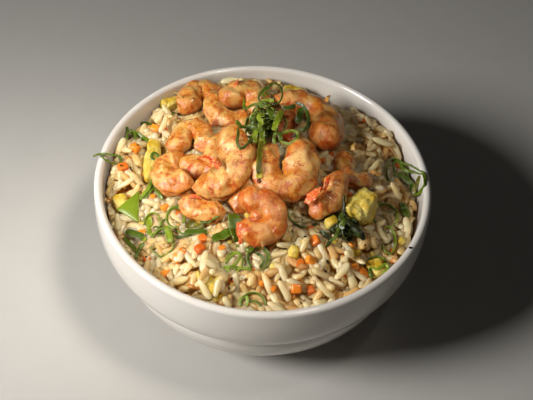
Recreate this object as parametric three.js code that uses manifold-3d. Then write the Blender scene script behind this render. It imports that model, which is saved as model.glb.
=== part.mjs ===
// A bowl of fried rice topped with curled shrimps and shredded spring onion.
// Millimetres, +Z up. The origin is the middle of the bowl's foot, on the surface that it stands on;
// +X is to the right and +Y to the back of the serving.
//
// Every piece of food is one closed solid. A piece that lies under another is cut clear of it,
// so that neighbours lie face to face with a small gap and nothing overlaps.

import * as THREE from "three";
import { mergeVertices } from "three/addons/utils/BufferGeometryUtils.js";
import Module from "manifold-3d";

const wasm = await Module();
wasm.setup();

// ---- Driving dimensions ------------------------------------------------------------------------

const RIM_HEIGHT = 74;
const RIM_RADIUS = 83;
const BAND_FOOT_RADIUS = 76.5;
const BAND_FOOT_DROP = 31.5;
const BAND_STEP = 1.3;
const FOOT_RADIUS = 45;
const FOOT_WIDTH = 4;
const FOOT_RECESS = 3.5;
const WALL = 4;
const BOWL_SIDES = 48;

const GAP = 0.35;

const RICE_RADIUS = 78;
const RICE_EDGE_DROP = 15;
const RICE_CROWN = 16;
const RICE_BACK_RISE = 4.5;
const RICE_RINGS = [76.9, 64, 50, 35, 18, 4];
const MOUND_CENTRE = [-4, 10];
const MOUND_HEIGHT = 3.5;
const MOUND_SPREAD = 34;
const GRAIN_LENGTH = 7.6;
const GRAIN_WIDTH = 3.1;
const GRAIN_COUNT = 98;
const GRAIN_PROUD = 0.35;
const GRAIN_SEED = 11;
const CARROT_EVERY = 9;
const CARROT_SIDE = 3.6;

const SHRIMP_STEPS = 12;
const SHRIMP_SIDES = 7;
const SHRIMP_SEGMENTS = 6;
const SHRIMP_SWELL = 0.05;
const SHRIMP_HEAD_ROUND = 0.12;
const SHRIMP_NOSE = 0.2;
const SHRIMP_FAN_START = 0.86;
const SHRIMP_FAN_NARROWS = 0.3;
const SHRIMP_FAN_FLATTENS = 0.62;
const SHRIMP_DEPTH = 0.8;
const SHRIMP_INNER_ROOM = 0.92;

const ONION_THICKNESS = 0.7;
const ONION_STEPS = 7;
const LEAF_STEPS = 4;
const LEAF_COLUMNS = 3;
const LEAF_CUPPING = 0.35;
const EGG_LUMPS = [0.1, 0.09, 0.06];

// Each shrimp is an oval spiral lying in a tilted plane: the middle of its curl, the plane's tilt and the
// compass direction that it leans to, the angle at the head end and the sweep to the tail, the curl's
// radius at head and tail, how much deeper than wide the curl is, the body's half thickness at head and
// tail, and how far the tail lifts out of the plane.
// They are listed from the top of the pile down, because a lower one gives way to a higher one.
const SHRIMPS = {
  shrimp_centre: {
    at: [-24, -4, 87], tilt: 22, lean: -110, start: 84, sweep: -212,
    curl: [10.8, 11.6], oval: 1.02, body: [8.8, 7.4], lift: -1,
  },
  shrimp_right: {
    at: [8.6, -4.6, 86.5], tilt: 22, lean: -75, start: 80, sweep: -300,
    curl: [9.4, 8.8], oval: 1.16, body: [9, 4.2], lift: -2,
  },
  shrimp_front: {
    at: [-2.2, -33.5, 80.5], tilt: 28, lean: -90, start: 140, sweep: -300,
    curl: [10.2, 5.6], oval: 0.9, body: [6.8, 5.4], lift: 3,
  },
  shrimp_right_front: {
    at: [23, -11, 83], tilt: 20, lean: -40, start: 40, sweep: -130,
    curl: [11.8, 11.4], oval: 1.0, body: [6.6, 6.2], lift: -1,
  },
  shrimp_left: {
    at: [-37, 14, 79.5], tilt: 12, lean: 200, start: -141, sweep: -262,
    curl: [5.8, 6.8], oval: 1.4, body: [6.2, 4.8], lift: 1,
  },
  shrimp_back_mid: {
    at: [-12.5, 44.5, 79.5], tilt: 5, lean: -90, start: -170, sweep: -244,
    curl: [6.6, 6.8], oval: 1.15, body: [7.4, 5.6], lift: 0,
  },
  shrimp_back_left: {
    at: [-35.3, 52.8, 72.8], tilt: 8, lean: 110, start: -117, sweep: -282,
    curl: [6.6, 5.6], oval: 1.5, body: [7, 5], lift: 0,
  },
  shrimp_back_right: {
    at: [15, 32, 81.5], tilt: 12, lean: 30, start: -45, sweep: 172,
    curl: [15.6, 17], oval: 1.05, body: [9.4, 5], lift: 0,
  },
  shrimp_left_low: {
    at: [-41, -3.5, 78], tilt: 16, lean: 200, start: -40, sweep: -240,
    curl: [7.8, 6.8], oval: 0.92, body: [7.4, 6], lift: 0,
  },
  shrimp_under_back: {
    at: [-16, 47, 76.5], tilt: 10, lean: -90, start: -50, sweep: -165,
    curl: [12.5, 12], oval: 0.95, body: [7, 5], lift: 0,
  },
  shrimp_far_right: {
    at: [45.1, 8.3, 75.5], tilt: 15, lean: 0, start: 125, sweep: 220,
    curl: [6.4, 6.4], oval: 1.3, body: [5, 4.4], lift: 0,
  },
  shrimp_under_left: {
    at: [-25.5, -17, 79.5], tilt: 20, lean: -110, start: 196, sweep: 115,
    curl: [10.4, 10.4], oval: 1.0, body: [6, 5.2], lift: 0,
  },
  shrimp_under_middle: {
    at: [-31, 8, 79], tilt: 10, lean: -140, start: 60, sweep: -230,
    curl: [9, 8], oval: 1.1, body: [8, 6], lift: 0,
  },
  shrimp_under_centre: {
    at: [-27.5, -4, 80], tilt: 10, lean: -90, start: 40, sweep: -96,
    curl: [24.5, 24], oval: 1.0, body: [7.8, 6.4], lift: 0,
  },
};

// A curl of spring onion is a thin band bent round an oval arc in a tilted plane. Its width stands
// across the plane, turned by the twist in degrees at each end.
const CURLS = {
  onion_ring_left: {
    at: [-45.1, -40, 67.3], tilt: 10, lean: -120, start: 160, sweep: -325,
    curl: 5.3, oval: 1.4, width: 1.6, twist: [10, 10],
  },
  onion_ring_far_left: {
    at: [-51.6, -29, 67.2], tilt: 15, lean: -120, start: -173, sweep: -321,
    curl: 3.9, oval: 1.45, width: 1.5, twist: [0, 10],
  },
  onion_ring_mid_left: {
    at: [-40.2, -28.6, 72.6], tilt: 12, lean: -100, start: -33, sweep: 331,
    curl: 4.2, oval: 1.3, width: 1.6, twist: [60, 40],
  },
  onion_ring_front_mid: {
    at: [-11, -50.2, 69.3], tilt: 10, lean: -90, start: -168, sweep: -264,
    curl: 3.8, oval: 1.3, width: 1.6, twist: [0, 30],
  },
  onion_ring_front: {
    at: [0, -48, 70.3], tilt: 15, lean: -90, start: -126, sweep: -308,
    curl: 4.6, oval: 1.25, width: 2.6, twist: [40, 20],
  },
  onion_ring_rim: {
    at: [-1, -69.5, 63], tilt: 25, lean: -90, start: 175, sweep: -170,
    curl: 5.8, oval: 1.0, width: 1.8, twist: [20, 20],
  },
  onion_ring_right: {
    at: [60.1, -14.1, 67], tilt: 10, lean: -30, start: -135, sweep: -275,
    curl: 6.4, oval: 1.08, width: 1.6, twist: [20, 0],
  },
  onion_loop_right: {
    at: [61.8, -27.3, 64.4], tilt: 12, lean: -30, start: 126, sweep: -282,
    curl: 3.4, oval: 2.3, width: 1.6, twist: [0, 20],
  },
  onion_ring_egg: {
    at: [56.2, -44, 63.1], tilt: 15, lean: -45, start: -156, sweep: -213,
    curl: 5.2, oval: 1.24, width: 1.5, twist: [10, 10],
  },
  onion_loop_back_right: {
    at: [67.7, 16.6, 63.8], tilt: 20, lean: 0, start: -145, sweep: -230,
    curl: 6.2, oval: 1.7, width: 1.6, twist: [0, 20],
  },
  onion_curl_rim: {
    at: [-77, 9, 72.2], tilt: 36, lean: 0, start: -150, sweep: 190,
    curl: 6.6, oval: 0.7, width: 1.4, twist: [20, 20],
  },
  onion_curl_back_left: {
    at: [-65.4, 36.2, 63.6], tilt: 10, lean: 180, start: -127, sweep: -222,
    curl: 7, oval: 0.75, width: 1.8, twist: [10, 30],
  },
  onion_curl_front_right: {
    at: [21.8, -20.9, 74.9], tilt: 10, lean: -90, start: 178, sweep: 95,
    curl: 9.4, oval: 1.0, width: 1.8, twist: [10, 30],
  },
};

// A flat strip or leaf runs from one point to another over a low arch, with its width at the start, the
// middle and the end, its roll about its own length, and the height of the waves along it.
const LEAVES = {
  pod_piece: {
    from: [-63.1, -10.6, 69.4], to: [-62.7, -28.1, 67.2], width: [3, 9.5, 13.5],
    arch: 1.6, roll: -8, wave: 0.5, thickness: 0.9,
  },
  onion_fold_left: {
    from: [-54.9, -36.3, 65.2], to: [-63.6, -32.5, 63.8], width: [3.4, 3.6, 3],
    arch: 0.8, roll: 10, wave: 0.2, thickness: 0.8,
  },
  onion_fold_right: {
    from: [-64.4, -34.7, 61.9], to: [-57, -43, 61.9], width: [2.4, 2.6, 2],
    arch: 0.5, roll: 30, wave: 0.2, thickness: 0.8,
  },
  onion_strip_upright: {
    from: [-43.8, -33.2, 70.9], to: [-41.4, -41.6, 69.4], width: [3, 3.2, 3],
    arch: 0.7, roll: 0, wave: 0.2, thickness: 0.8,
  },
  onion_strip_level: {
    from: [-35.2, -35.4, 69.6], to: [-24.7, -35.4, 71.2], width: [3.2, 3.2, 3],
    arch: 0.9, roll: 0, wave: 0.2, thickness: 0.8,
  },
  onion_leaf_front: {
    from: [-13.6, -27.8, 76.6], to: [-9.4, -42, 74], width: [5, 7.5, 6],
    arch: 1.2, roll: 12, wave: 0.6, thickness: 0.8,
  },
  onion_leaf_low: {
    from: [-12.4, -36, 73.5], to: [-21.6, -40.4, 71.9], width: [5.5, 6, 4.5],
    arch: 0.8, roll: -10, wave: 0.5, thickness: 0.8,
  },
  onion_strip_side: {
    from: [-49.9, -4.1, 71.6], to: [-57.3, -15.6, 68.6], width: [2.4, 2.8, 2.4],
    arch: 1.2, roll: -10, wave: 0.3, thickness: 0.8,
  },
  onion_fold_back: {
    from: [-53.8, 47.9, 64.9], to: [-45, 45.1, 67.5], width: [2.6, 2.8, 2],
    arch: 1, roll: 20, wave: 0.2, thickness: 0.8,
  },
  onion_leaf_right: {
    from: [68.9, -3.1, 64.3], to: [71.7, -11.2, 62.9], width: [3, 4.5, 3.4],
    arch: 0.8, roll: 8, wave: 0.4, thickness: 0.8,
  },
};

// A curd of scrambled egg is a lumpy ball: its middle, its three half sizes, its turn and its slope.
const EGGS = {
  egg_left_long: { at: [-56, 8.5, 70.6], half: [3.9, 14, 3.2], turn: 3, slope: 2, lumps: 1 },
  egg_left_low: { at: [-68.6, -16.3, 65], half: [3.4, 5, 3], turn: 20, slope: 0, lumps: 2 },
  egg_back_left: { at: [-50.8, 55.4, 66.4], half: [6.6, 3.6, 3], turn: 40, slope: 10, lumps: 3 },
  egg_right: { at: [48, -15, 73.4], half: [6.2, 9.2, 5.4], turn: -30, slope: -6, lumps: 4 },
  egg_right_small: { at: [33.4, -27.2, 74.6], half: [3.4, 2.6, 2.4], turn: 30, slope: 0, lumps: 5 },
  egg_right_low: { at: [55.3, -44.9, 64.7], half: [3.6, 4.2, 2.8], turn: 30, slope: 0, lumps: 6 },
  egg_front_left: { at: [-20, -62.6, 67.2], half: [4.4, 5.6, 3], turn: -30, slope: -12, lumps: 7 },
  egg_back: { at: [13.5, 67.5, 66.5], half: [6, 3.6, 4.4], turn: -10, slope: 0, lumps: 8 },
};

// A heap of shreds is a low round core with curls and strips fused on. The larger heap lies on the
// shrimps, and the smaller one, of soft dark herbs, on the rice beside them.
const HEAPS = {
  onion_pile: {
    at: [-1.5, 23.5, 87.5],
    half: [9, 13, 6],
    curls: [
      {
        at: [0, 38, 90.5], tilt: 25, lean: -90, start: -123, sweep: -264,
        curl: 6.4, oval: 1.2, width: 1.8, twist: [0, 30],
      },
      {
        at: [-10.4, 12, 90.6], tilt: 20, lean: -100, start: 40, sweep: -290,
        curl: 5, oval: 1.5, width: 1.6, twist: [10, 10],
      },
      {
        at: [9.2, 13, 92], tilt: 18, lean: -60, start: 155, sweep: -310,
        curl: 6, oval: 0.8, width: 1.5, twist: [0, 10],
      },
      {
        at: [-8.5, 33, 90], tilt: 20, lean: 180, start: 135, sweep: 181,
        curl: 5.4, oval: 0.9, width: 1.8, twist: [10, 40],
      },
      {
        at: [7.5, 29, 90.5], tilt: 20, lean: 60, start: 95, sweep: -150,
        curl: 9, oval: 1.1, width: 1.8, twist: [20, 0],
      },
      {
        at: [-3.5, 27, 92.5], tilt: 10, lean: -90, start: 30, sweep: 250,
        curl: 4.6, oval: 1.2, width: 2.2, twist: [20, 50],
      },
      {
        at: [1.5, 18, 92.5], tilt: 14, lean: -60, start: 200, sweep: 240,
        curl: 4.2, oval: 1.2, width: 2, twist: [0, 40],
      },
    ],
    leaves: [
      {
        from: [-2.2, 17, 92.4], to: [-2.6, -13.4, 90.6], width: [3, 3.4, 3.2],
        arch: 3, roll: 0, wave: 0.2, thickness: 0.9,
      },
      {
        from: [6.4, 28, 92.5], to: [2.4, 15, 94], width: [3.6, 3.6, 3],
        arch: 1, roll: 10, wave: 0.2, thickness: 0.9,
      },
      {
        from: [-7, 31, 92], to: [-8, 13, 93], width: [3, 3.6, 2.6],
        arch: 1, roll: -20, wave: 0.4, thickness: 0.9,
      },
    ],
  },
  herb_cluster: {
    at: [39.5, -27.5, 71.6],
    half: [8.5, 4.2, 2.6],
    curls: [],
    leaves: [
      {
        from: [30, -20.5, 75.2], to: [40, -26.5, 74.6], width: [4, 6, 3.5],
        arch: 1, roll: 12, wave: 0.5, thickness: 0.9,
      },
      {
        from: [37, -25, 74.4], to: [49, -33, 70.6], width: [3.5, 5.5, 3],
        arch: 1.2, roll: -10, wave: 0.6, thickness: 0.9,
      },
      {
        from: [33, -31, 73.6], to: [42, -24, 74.6], width: [2.5, 4, 3],
        arch: 1.2, roll: 10, wave: 0.5, thickness: 0.9,
      },
    ],
  },
};

const COLOURS = {
  porcelain: 0xf4f1ec,
  rice: 0xe8dcb8,
  shrimp: 0xe39a55,
  onion: 0x5f8f22,
  pod: 0x9dbb35,
  egg: 0xe6c84f,
};

// ---- Meshes and solids ---------------------------------------------------------------------------

// Joins the faces of a ready-made shape at their corners, and drops the faces that have two corners in
// one place, as they do on an axis or at a pole.
function joined(geometry) {
  geometry.deleteAttribute("normal");
  geometry.deleteAttribute("uv");
  const merged = mergeVertices(geometry, 1e-4);
  const index = merged.index.array;
  const kept = [];
  for (let i = 0; i < index.length; i += 3) {
    const [a, b, c] = [index[i], index[i + 1], index[i + 2]];
    if (a !== b && b !== c && c !== a) kept.push(a, b, c);
  }
  merged.setIndex(kept);
  return merged;
}

// Turns a joined geometry into a solid that can be added to others and cut.
function solidOf(geometry) {
  return new wasm.Manifold(new wasm.Mesh({
    numProp: 3,
    vertProperties: new Float32Array(geometry.attributes.position.array),
    triVerts: new Uint32Array(geometry.index.array),
  }));
}

// Turns a solid back into a geometry.
function geometryOf(solid) {
  const mesh = solid.getMesh();
  const geometry = new THREE.BufferGeometry();
  geometry.setAttribute("position", new THREE.BufferAttribute(mesh.vertProperties, 3));
  geometry.setIndex(new THREE.BufferAttribute(mesh.triVerts, 1));
  geometry.computeVertexNormals();
  return geometry;
}

// Keeps the largest body of a solid that a cut has divided, and drops the scraps.
function largestBody(solid) {
  const bodies = solid.decompose();
  bodies.sort((a, b) => b.volume() - a.volume());
  return bodies[0];
}

// A closed skin over a grid of rings: every ring has the same number of points, and the first and last
// rings are closed with a fan about their own middle.
function skinOver(rings) {
  const sides = rings[0].length;
  const points = rings.flat();
  const triangles = [];
  for (let i = 0; i + 1 < rings.length; i++) {
    for (let j = 0; j < sides; j++) {
      const a = i * sides + j;
      const b = i * sides + (j + 1) % sides;
      triangles.push(a, b, b + sides, a, b + sides, a + sides);
    }
  }
  for (const end of [0, rings.length - 1]) {
    const middle = new THREE.Vector3();
    rings[end].forEach((point) => middle.addScaledVector(point, 1 / sides));
    points.push(middle);
    for (let j = 0; j < sides; j++) {
      const a = end * sides + j;
      const b = end * sides + (j + 1) % sides;
      triangles.push(points.length - 1, end === 0 ? b : a, end === 0 ? a : b);
    }
  }
  const geometry = new THREE.BufferGeometry().setFromPoints(points);
  geometry.setIndex(triangles);
  return outwardFacing(geometry);
}

// Turns every face round if the skin encloses a negative volume.
function outwardFacing(geometry) {
  const position = geometry.attributes.position;
  const index = geometry.index.array;
  const corner = [0, 1, 2].map(() => new THREE.Vector3());
  let volume = 0;
  for (let i = 0; i < index.length; i += 3) {
    corner.forEach((point, k) => point.fromBufferAttribute(position, index[i + k]));
    volume += corner[0].dot(corner[1].cross(corner[2])) / 6;
  }
  if (volume < 0) {
    for (let i = 0; i < index.length; i += 3) {
      [index[i + 1], index[i + 2]] = [index[i + 2], index[i + 1]];
    }
  }
  return geometry;
}

// The two directions that span a plane tipped by tilt degrees towards the compass direction lean, and
// its upward normal.
function tippedPlane(tilt, lean) {
  const towards = THREE.MathUtils.degToRad(lean);
  const hinge = new THREE.Vector3(-Math.sin(towards), Math.cos(towards), 0);
  const turn = new THREE.Quaternion().setFromAxisAngle(hinge, THREE.MathUtils.degToRad(tilt));
  return [[1, 0, 0], [0, 1, 0], [0, 0, 1]].map((axis) => new THREE.Vector3(...axis).applyQuaternion(turn));
}

// A repeatable stream of random numbers from 0 to 1.
function randomStream(seed) {
  let state = seed;
  return () => {
    state = (state * 1664525 + 1013904223) % 4294967296;
    return state / 4294967296;
  };
}

// ---- Bowl ----------------------------------------------------------------------------------------

// The inside of the bowl, from just under the lip down to the middle of the well.
function insideOutline() {
  return [
    [RIM_RADIUS - WALL - 0.6, 70],
    [77.8, 60],
    [75.6, 50],
    [64, 24],
    [42, 10.2],
    [16, 7.6],
    [0, 7.2],
  ].map(([radius, z]) => new THREE.Vector2(radius, z));
}

// The wall's outline from the middle of the underside, out over the foot, up the side with its raised
// band, over the rolled lip and down the inside to the middle of the well.
function bowlOutline() {
  const bandFoot = RIM_HEIGHT - BAND_FOOT_DROP;
  const outside = [
    [0, FOOT_RECESS],
    [FOOT_RADIUS - FOOT_WIDTH, FOOT_RECESS],
    [FOOT_RADIUS - FOOT_WIDTH + 0.6, 0],
    [FOOT_RADIUS - 0.8, 0],
    [FOOT_RADIUS + 0.6, 5],
    [63.2, 14],
    [70.7, 23],
    [BAND_FOOT_RADIUS - BAND_STEP - 0.3, 33],
    [BAND_FOOT_RADIUS - BAND_STEP, bandFoot - 0.4],
    [BAND_FOOT_RADIUS, bandFoot + 0.4],
    [79.8, 46.8],
    [RIM_RADIUS - 0.8, 53],
    [RIM_RADIUS, 62],
    [RIM_RADIUS - 0.4, 70.5],
  ];
  const lip = [40, 90, 140].map((degrees) => {
    const angle = THREE.MathUtils.degToRad(degrees);
    return [RIM_RADIUS - 2.4 + 2 * Math.cos(angle), RIM_HEIGHT - 2 + 2 * Math.sin(angle)];
  });
  return [...[...outside, ...lip].map(([radius, z]) => new THREE.Vector2(radius, z)), ...insideOutline()];
}

// Moves an outline sideways by a distance, out of the material that it bounds.
function offsetOutline(outline, distance) {
  return outline.map((point, i) => {
    const before = outline[Math.max(i - 1, 0)];
    const after = outline[Math.min(i + 1, outline.length - 1)];
    const along = after.clone().sub(before).normalize();
    const moved = new THREE.Vector2(point.x + along.y * distance, point.y - along.x * distance);
    return point.x === 0 ? new THREE.Vector2(0, moved.y) : moved;
  });
}

// The bowl is its outline turned about +Z.
function bowlGeometry(grow) {
  const geometry = joined(new THREE.LatheGeometry(offsetOutline(bowlOutline(), grow), BOWL_SIDES));
  geometry.rotateX(Math.PI / 2);
  return outwardFacing(geometry);
}

// ---- Shrimps -------------------------------------------------------------------------------------

// A peeled shrimp: rings carried along its oval spiral. The body is rounded off at the head, swells with
// each of its segments, thins towards the tail and ends in a flat fan. On the inside of the curl it is
// never thicker than the room that the curl leaves.
function shrimpGeometry(spec, grow) {
  const [across, along, out] = tippedPlane(spec.tilt, spec.lean);
  const place = (s) => {
    const angle = THREE.MathUtils.degToRad(spec.start + spec.sweep * s);
    const radius = THREE.MathUtils.lerp(spec.curl[0], spec.curl[1], s);
    return new THREE.Vector3(...spec.at)
      .addScaledVector(across, radius * Math.cos(angle))
      .addScaledVector(along, spec.oval * radius * Math.sin(angle))
      .addScaledVector(out, spec.lift * s * s);
  };
  const rings = [];
  for (let i = 0; i <= SHRIMP_STEPS; i++) {
    const s = i / SHRIMP_STEPS;
    const here = place(s);
    const before = place(s - 0.25 / SHRIMP_STEPS);
    const after = place(s + 0.25 / SHRIMP_STEPS);
    const forward = after.clone().sub(before).normalize();
    const bend = after.clone().add(before).addScaledVector(here, -2);
    const inward = bend.clone().addScaledVector(forward, -bend.dot(forward)).normalize();
    const upward = new THREE.Vector3().crossVectors(forward, inward).normalize();
    const bendRadius = (after.distanceTo(before) / 2) ** 2 / bend.length();
    const towardsNose = Math.max(1 - s / SHRIMP_HEAD_ROUND, 0);
    const head = Math.max(Math.sqrt(1 - towardsNose ** 2), SHRIMP_NOSE);
    const fan = THREE.MathUtils.clamp((s - SHRIMP_FAN_START) / (1 - SHRIMP_FAN_START), 0, 1);
    const half = THREE.MathUtils.lerp(spec.body[0], spec.body[1], s) * head + grow;
    const swell = 1 + SHRIMP_SWELL * Math.cos(2 * Math.PI * SHRIMP_SEGMENTS * s);
    const wide = half * swell * (1 - SHRIMP_FAN_NARROWS * fan);
    const deep = half * swell * SHRIMP_DEPTH * (1 - SHRIMP_FAN_FLATTENS * fan);
    const room = Math.min(wide, SHRIMP_INNER_ROOM * bendRadius);
    const ring = [];
    for (let j = 0; j < SHRIMP_SIDES; j++) {
      const turn = 2 * Math.PI * (j + 0.5) / SHRIMP_SIDES;
      const sideways = Math.cos(turn) > 0 ? room : wide;
      ring.push(here.clone()
        .addScaledVector(inward, sideways * Math.cos(turn))
        .addScaledVector(upward, deep * Math.sin(turn)));
    }
    rings.push(ring);
  }
  return skinOver(rings);
}

// ---- Spring onion and pod ------------------------------------------------------------------------

// A thin band bent round an oval arc: a four-cornered section carried along it.
function curlGeometry(spec, grow) {
  const [across, along, out] = tippedPlane(spec.tilt, spec.lean);
  const halfWidth = spec.width / 2 + grow;
  const halfThickness = ONION_THICKNESS / 2 + grow;
  const rings = [];
  for (let i = 0; i <= ONION_STEPS; i++) {
    const s = i / ONION_STEPS;
    const angle = THREE.MathUtils.degToRad(spec.start + spec.sweep * s);
    const outward = across.clone().multiplyScalar(Math.cos(angle)).addScaledVector(along, Math.sin(angle));
    const here = new THREE.Vector3(...spec.at)
      .addScaledVector(across, spec.curl * Math.cos(angle))
      .addScaledVector(along, spec.oval * spec.curl * Math.sin(angle));
    const twist = THREE.MathUtils.degToRad(THREE.MathUtils.lerp(spec.twist[0], spec.twist[1], s));
    const edge = out.clone().multiplyScalar(Math.cos(twist)).addScaledVector(outward, Math.sin(twist));
    const face = outward.clone().multiplyScalar(Math.cos(twist)).addScaledVector(out, -Math.sin(twist));
    rings.push([[1, 1], [1, -1], [-1, -1], [-1, 1]].map(([e, f]) => here.clone()
      .addScaledVector(edge, e * halfWidth)
      .addScaledVector(face, f * halfThickness)));
  }
  return skinOver(rings);
}

// A thin wavy strip or leaf between two points. Its two faces are grids of the same triangles.
function leafGeometry(spec, grow) {
  const start = new THREE.Vector3(...spec.from);
  const end = new THREE.Vector3(...spec.to);
  const forward = end.clone().sub(start).normalize();
  const level = new THREE.Vector3(0, 0, 1).cross(forward).normalize();
  const side = level.applyAxisAngle(forward, THREE.MathUtils.degToRad(spec.roll));
  const out = forward.clone().cross(side).normalize();
  if (out.z < 0) out.negate();
  const [first, middle, last] = spec.width;
  const rings = [];
  for (let i = 0; i <= LEAF_STEPS; i++) {
    const s = i / LEAF_STEPS;
    const width = s < 0.5
      ? THREE.MathUtils.lerp(first, middle, 2 * s)
      : THREE.MathUtils.lerp(middle, last, 2 * s - 1);
    const upper = [];
    const lower = [];
    for (let j = 0; j < LEAF_COLUMNS; j++) {
      const v = 2 * j / (LEAF_COLUMNS - 1) - 1;
      const bow = spec.arch * (4 * s * (1 - s) - LEAF_CUPPING * v * v);
      const height = bow + spec.wave * Math.sin(9 * s + 2 * v);
      const point = start.clone().lerp(end, s)
        .addScaledVector(forward, (2 * s - 1) * grow)
        .addScaledVector(side, v * (width / 2 + grow))
        .addScaledVector(out, height);
      upper.push(point.clone().addScaledVector(out, spec.thickness / 2 + grow));
      lower.push(point.clone().addScaledVector(out, -spec.thickness / 2 - grow));
    }
    rings.push([...upper, ...lower.reverse()]);
  }
  return skinOver(rings);
}

// ---- Egg -----------------------------------------------------------------------------------------

// A lumpy ball: the distance from the middle rises and falls with three waves.
function eggGeometry(spec, grow) {
  const geometry = joined(new THREE.SphereGeometry(1, 8, 5));
  const position = geometry.attributes.position;
  const phase = spec.lumps * 1.7;
  const turn = new THREE.Euler(THREE.MathUtils.degToRad(spec.slope), 0, THREE.MathUtils.degToRad(spec.turn));
  for (let i = 0; i < position.count; i++) {
    const point = new THREE.Vector3().fromBufferAttribute(position, i);
    const waves = [
      EGG_LUMPS[0] * Math.sin(4 * point.x + phase),
      EGG_LUMPS[1] * Math.sin(5 * point.y + 2 * phase),
      EGG_LUMPS[2] * Math.sin(6 * point.z + 3 * phase),
    ];
    point.multiplyScalar(1 + waves[0] + waves[1] + waves[2]);
    point.multiply(new THREE.Vector3(...spec.half).addScalar(grow));
    point.applyEuler(turn).add(new THREE.Vector3(...spec.at));
    position.setXYZ(i, point.x, point.y, point.z);
  }
  return outwardFacing(geometry);
}

// ---- Heaps of shreds -----------------------------------------------------------------------------

// A heap: its core with every curl and strip fused on.
function heapSolid(spec, grow) {
  const core = joined(new THREE.SphereGeometry(1, 10, 6));
  core.scale(spec.half[0] + grow, spec.half[1] + grow, spec.half[2] + grow);
  core.translate(...spec.at);
  let heap = solidOf(outwardFacing(core));
  spec.curls.forEach((curl) => { heap = heap.add(solidOf(curlGeometry(curl, grow))); });
  spec.leaves.forEach((leaf) => { heap = heap.add(solidOf(leafGeometry(leaf, grow))); });
  return largestBody(heap);
}

// ---- Rice ----------------------------------------------------------------------------------------

// The height of the rice's core: a dome that fills the bowl, heaped a little higher against the back
// wall, with a low mound under the shrimps.
function riceHeight(x, y) {
  const dome = RICE_CROWN * (1 - (x * x + y * y) / RICE_RADIUS ** 2);
  const back = RICE_BACK_RISE * (Math.max(y, 0) / RICE_RADIUS) ** 2;
  const fromMound = Math.hypot(x - MOUND_CENTRE[0], y - MOUND_CENTRE[1]) / MOUND_SPREAD;
  const mound = MOUND_HEIGHT * Math.exp(-2 * fromMound ** 2);
  return RIM_HEIGHT - RICE_EDGE_DROP + dome + back + mound;
}

// The core: rings up the inside of the bowl, a gap away from its wall, and then in over the dome.
function riceCore() {
  const well = offsetOutline(insideOutline(), GAP)
    .filter((point) => point.x > 0 && point.y < RIM_HEIGHT - RICE_EDGE_DROP)
    .reverse();
  const ringAt = (radius, height) => Array.from({ length: BOWL_SIDES }, (_, i) => {
    const angle = 2 * Math.PI * i / BOWL_SIDES;
    const [x, y] = [radius * Math.cos(angle), radius * Math.sin(angle)];
    return new THREE.Vector3(x, y, height(x, y));
  });
  return skinOver([
    ...well.map((point) => ringAt(point.x, () => point.y)),
    ...RICE_RINGS.map((radius) => ringAt(radius, riceHeight)),
  ]);
}

// Places of the grains: a sunflower spiral covers the dome evenly from the pile's edge to the wall.
function grainPlaces() {
  const random = randomStream(GRAIN_SEED);
  const goldenAngle = Math.PI * (3 - Math.sqrt(5));
  const places = [];
  for (let i = 0; i < GRAIN_COUNT; i++) {
    const radius = (RICE_RADIUS - 5) * Math.sqrt((i + 0.5) / GRAIN_COUNT);
    const angle = i * goldenAngle + 0.2 * random();
    const x = radius * Math.cos(angle);
    const y = radius * Math.sin(angle);
    places.push({ x, y, turn: Math.PI * random(), dip: 0.35 * (random() - 0.5), size: 0.9 + 0.2 * random() });
  }
  return places;
}

// A grain, or every so often a carrot die, lying along the slope of the dome.
function grainGeometry(place, order) {
  const isCarrot = order % CARROT_EVERY === CARROT_EVERY - 1;
  const geometry = joined(isCarrot ? new THREE.BoxGeometry(1, 1, 1) : new THREE.SphereGeometry(0.5, 4, 3));
  if (isCarrot) {
    geometry.scale(CARROT_SIDE, CARROT_SIDE, CARROT_SIDE);
  } else {
    geometry.rotateX(Math.PI / 2);
    geometry.rotateY(Math.PI / 2);
    geometry.scale(GRAIN_LENGTH * place.size, GRAIN_WIDTH, GRAIN_WIDTH);
  }
  const slope = -2 * RICE_CROWN * Math.hypot(place.x, place.y) / RICE_RADIUS ** 2;
  geometry.rotateY(place.dip);
  geometry.rotateZ(place.turn);
  const tip = new THREE.Matrix4().makeRotationAxis(
    new THREE.Vector3(-place.y, place.x, 0).normalize(), -Math.atan(slope));
  geometry.applyMatrix4(tip);
  geometry.translate(place.x, place.y, riceHeight(place.x, place.y) + GRAIN_PROUD);
  return outwardFacing(geometry);
}

// Joins the grains to the core, leaving out those that would reach into a topping.
function riceSolid(toppings, bowlRoom) {
  let rice = solidOf(riceCore());
  const clearOf = toppings.map((solid) => ({ solid, box: solid.boundingBox() }));
  grainPlaces().forEach((place, order) => {
    const grain = solidOf(grainGeometry(place, order));
    const box = grain.boundingBox();
    const touches = clearOf.some((topping) => boxesMeet(box, topping.box)
      && grain.intersect(topping.solid).volume() > 0);
    if (!touches) rice = rice.add(grain);
  });
  toppings.forEach((solid) => { rice = rice.subtract(solid); });
  return largestBody(rice.subtract(bowlRoom));
}

function boxesMeet(a, b) {
  return [0, 1, 2].every((axis) => a.min[axis] < b.max[axis] && b.min[axis] < a.max[axis]);
}

// ---- Assembly ------------------------------------------------------------------------------------

const serving = new THREE.Group();
serving.name = "fried_rice_bowl";

function addMesh(name, geometry, colour, roughness) {
  const material = new THREE.MeshStandardMaterial({ color: colour, roughness, metalness: 0 });
  const mesh = new THREE.Mesh(geometry, material);
  mesh.name = name;
  serving.add(mesh);
}

addMesh("bowl", bowlGeometry(0), COLOURS.porcelain, 0.12);

const grownBowl = solidOf(bowlGeometry(GAP));
const grownToppings = [];

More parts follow.
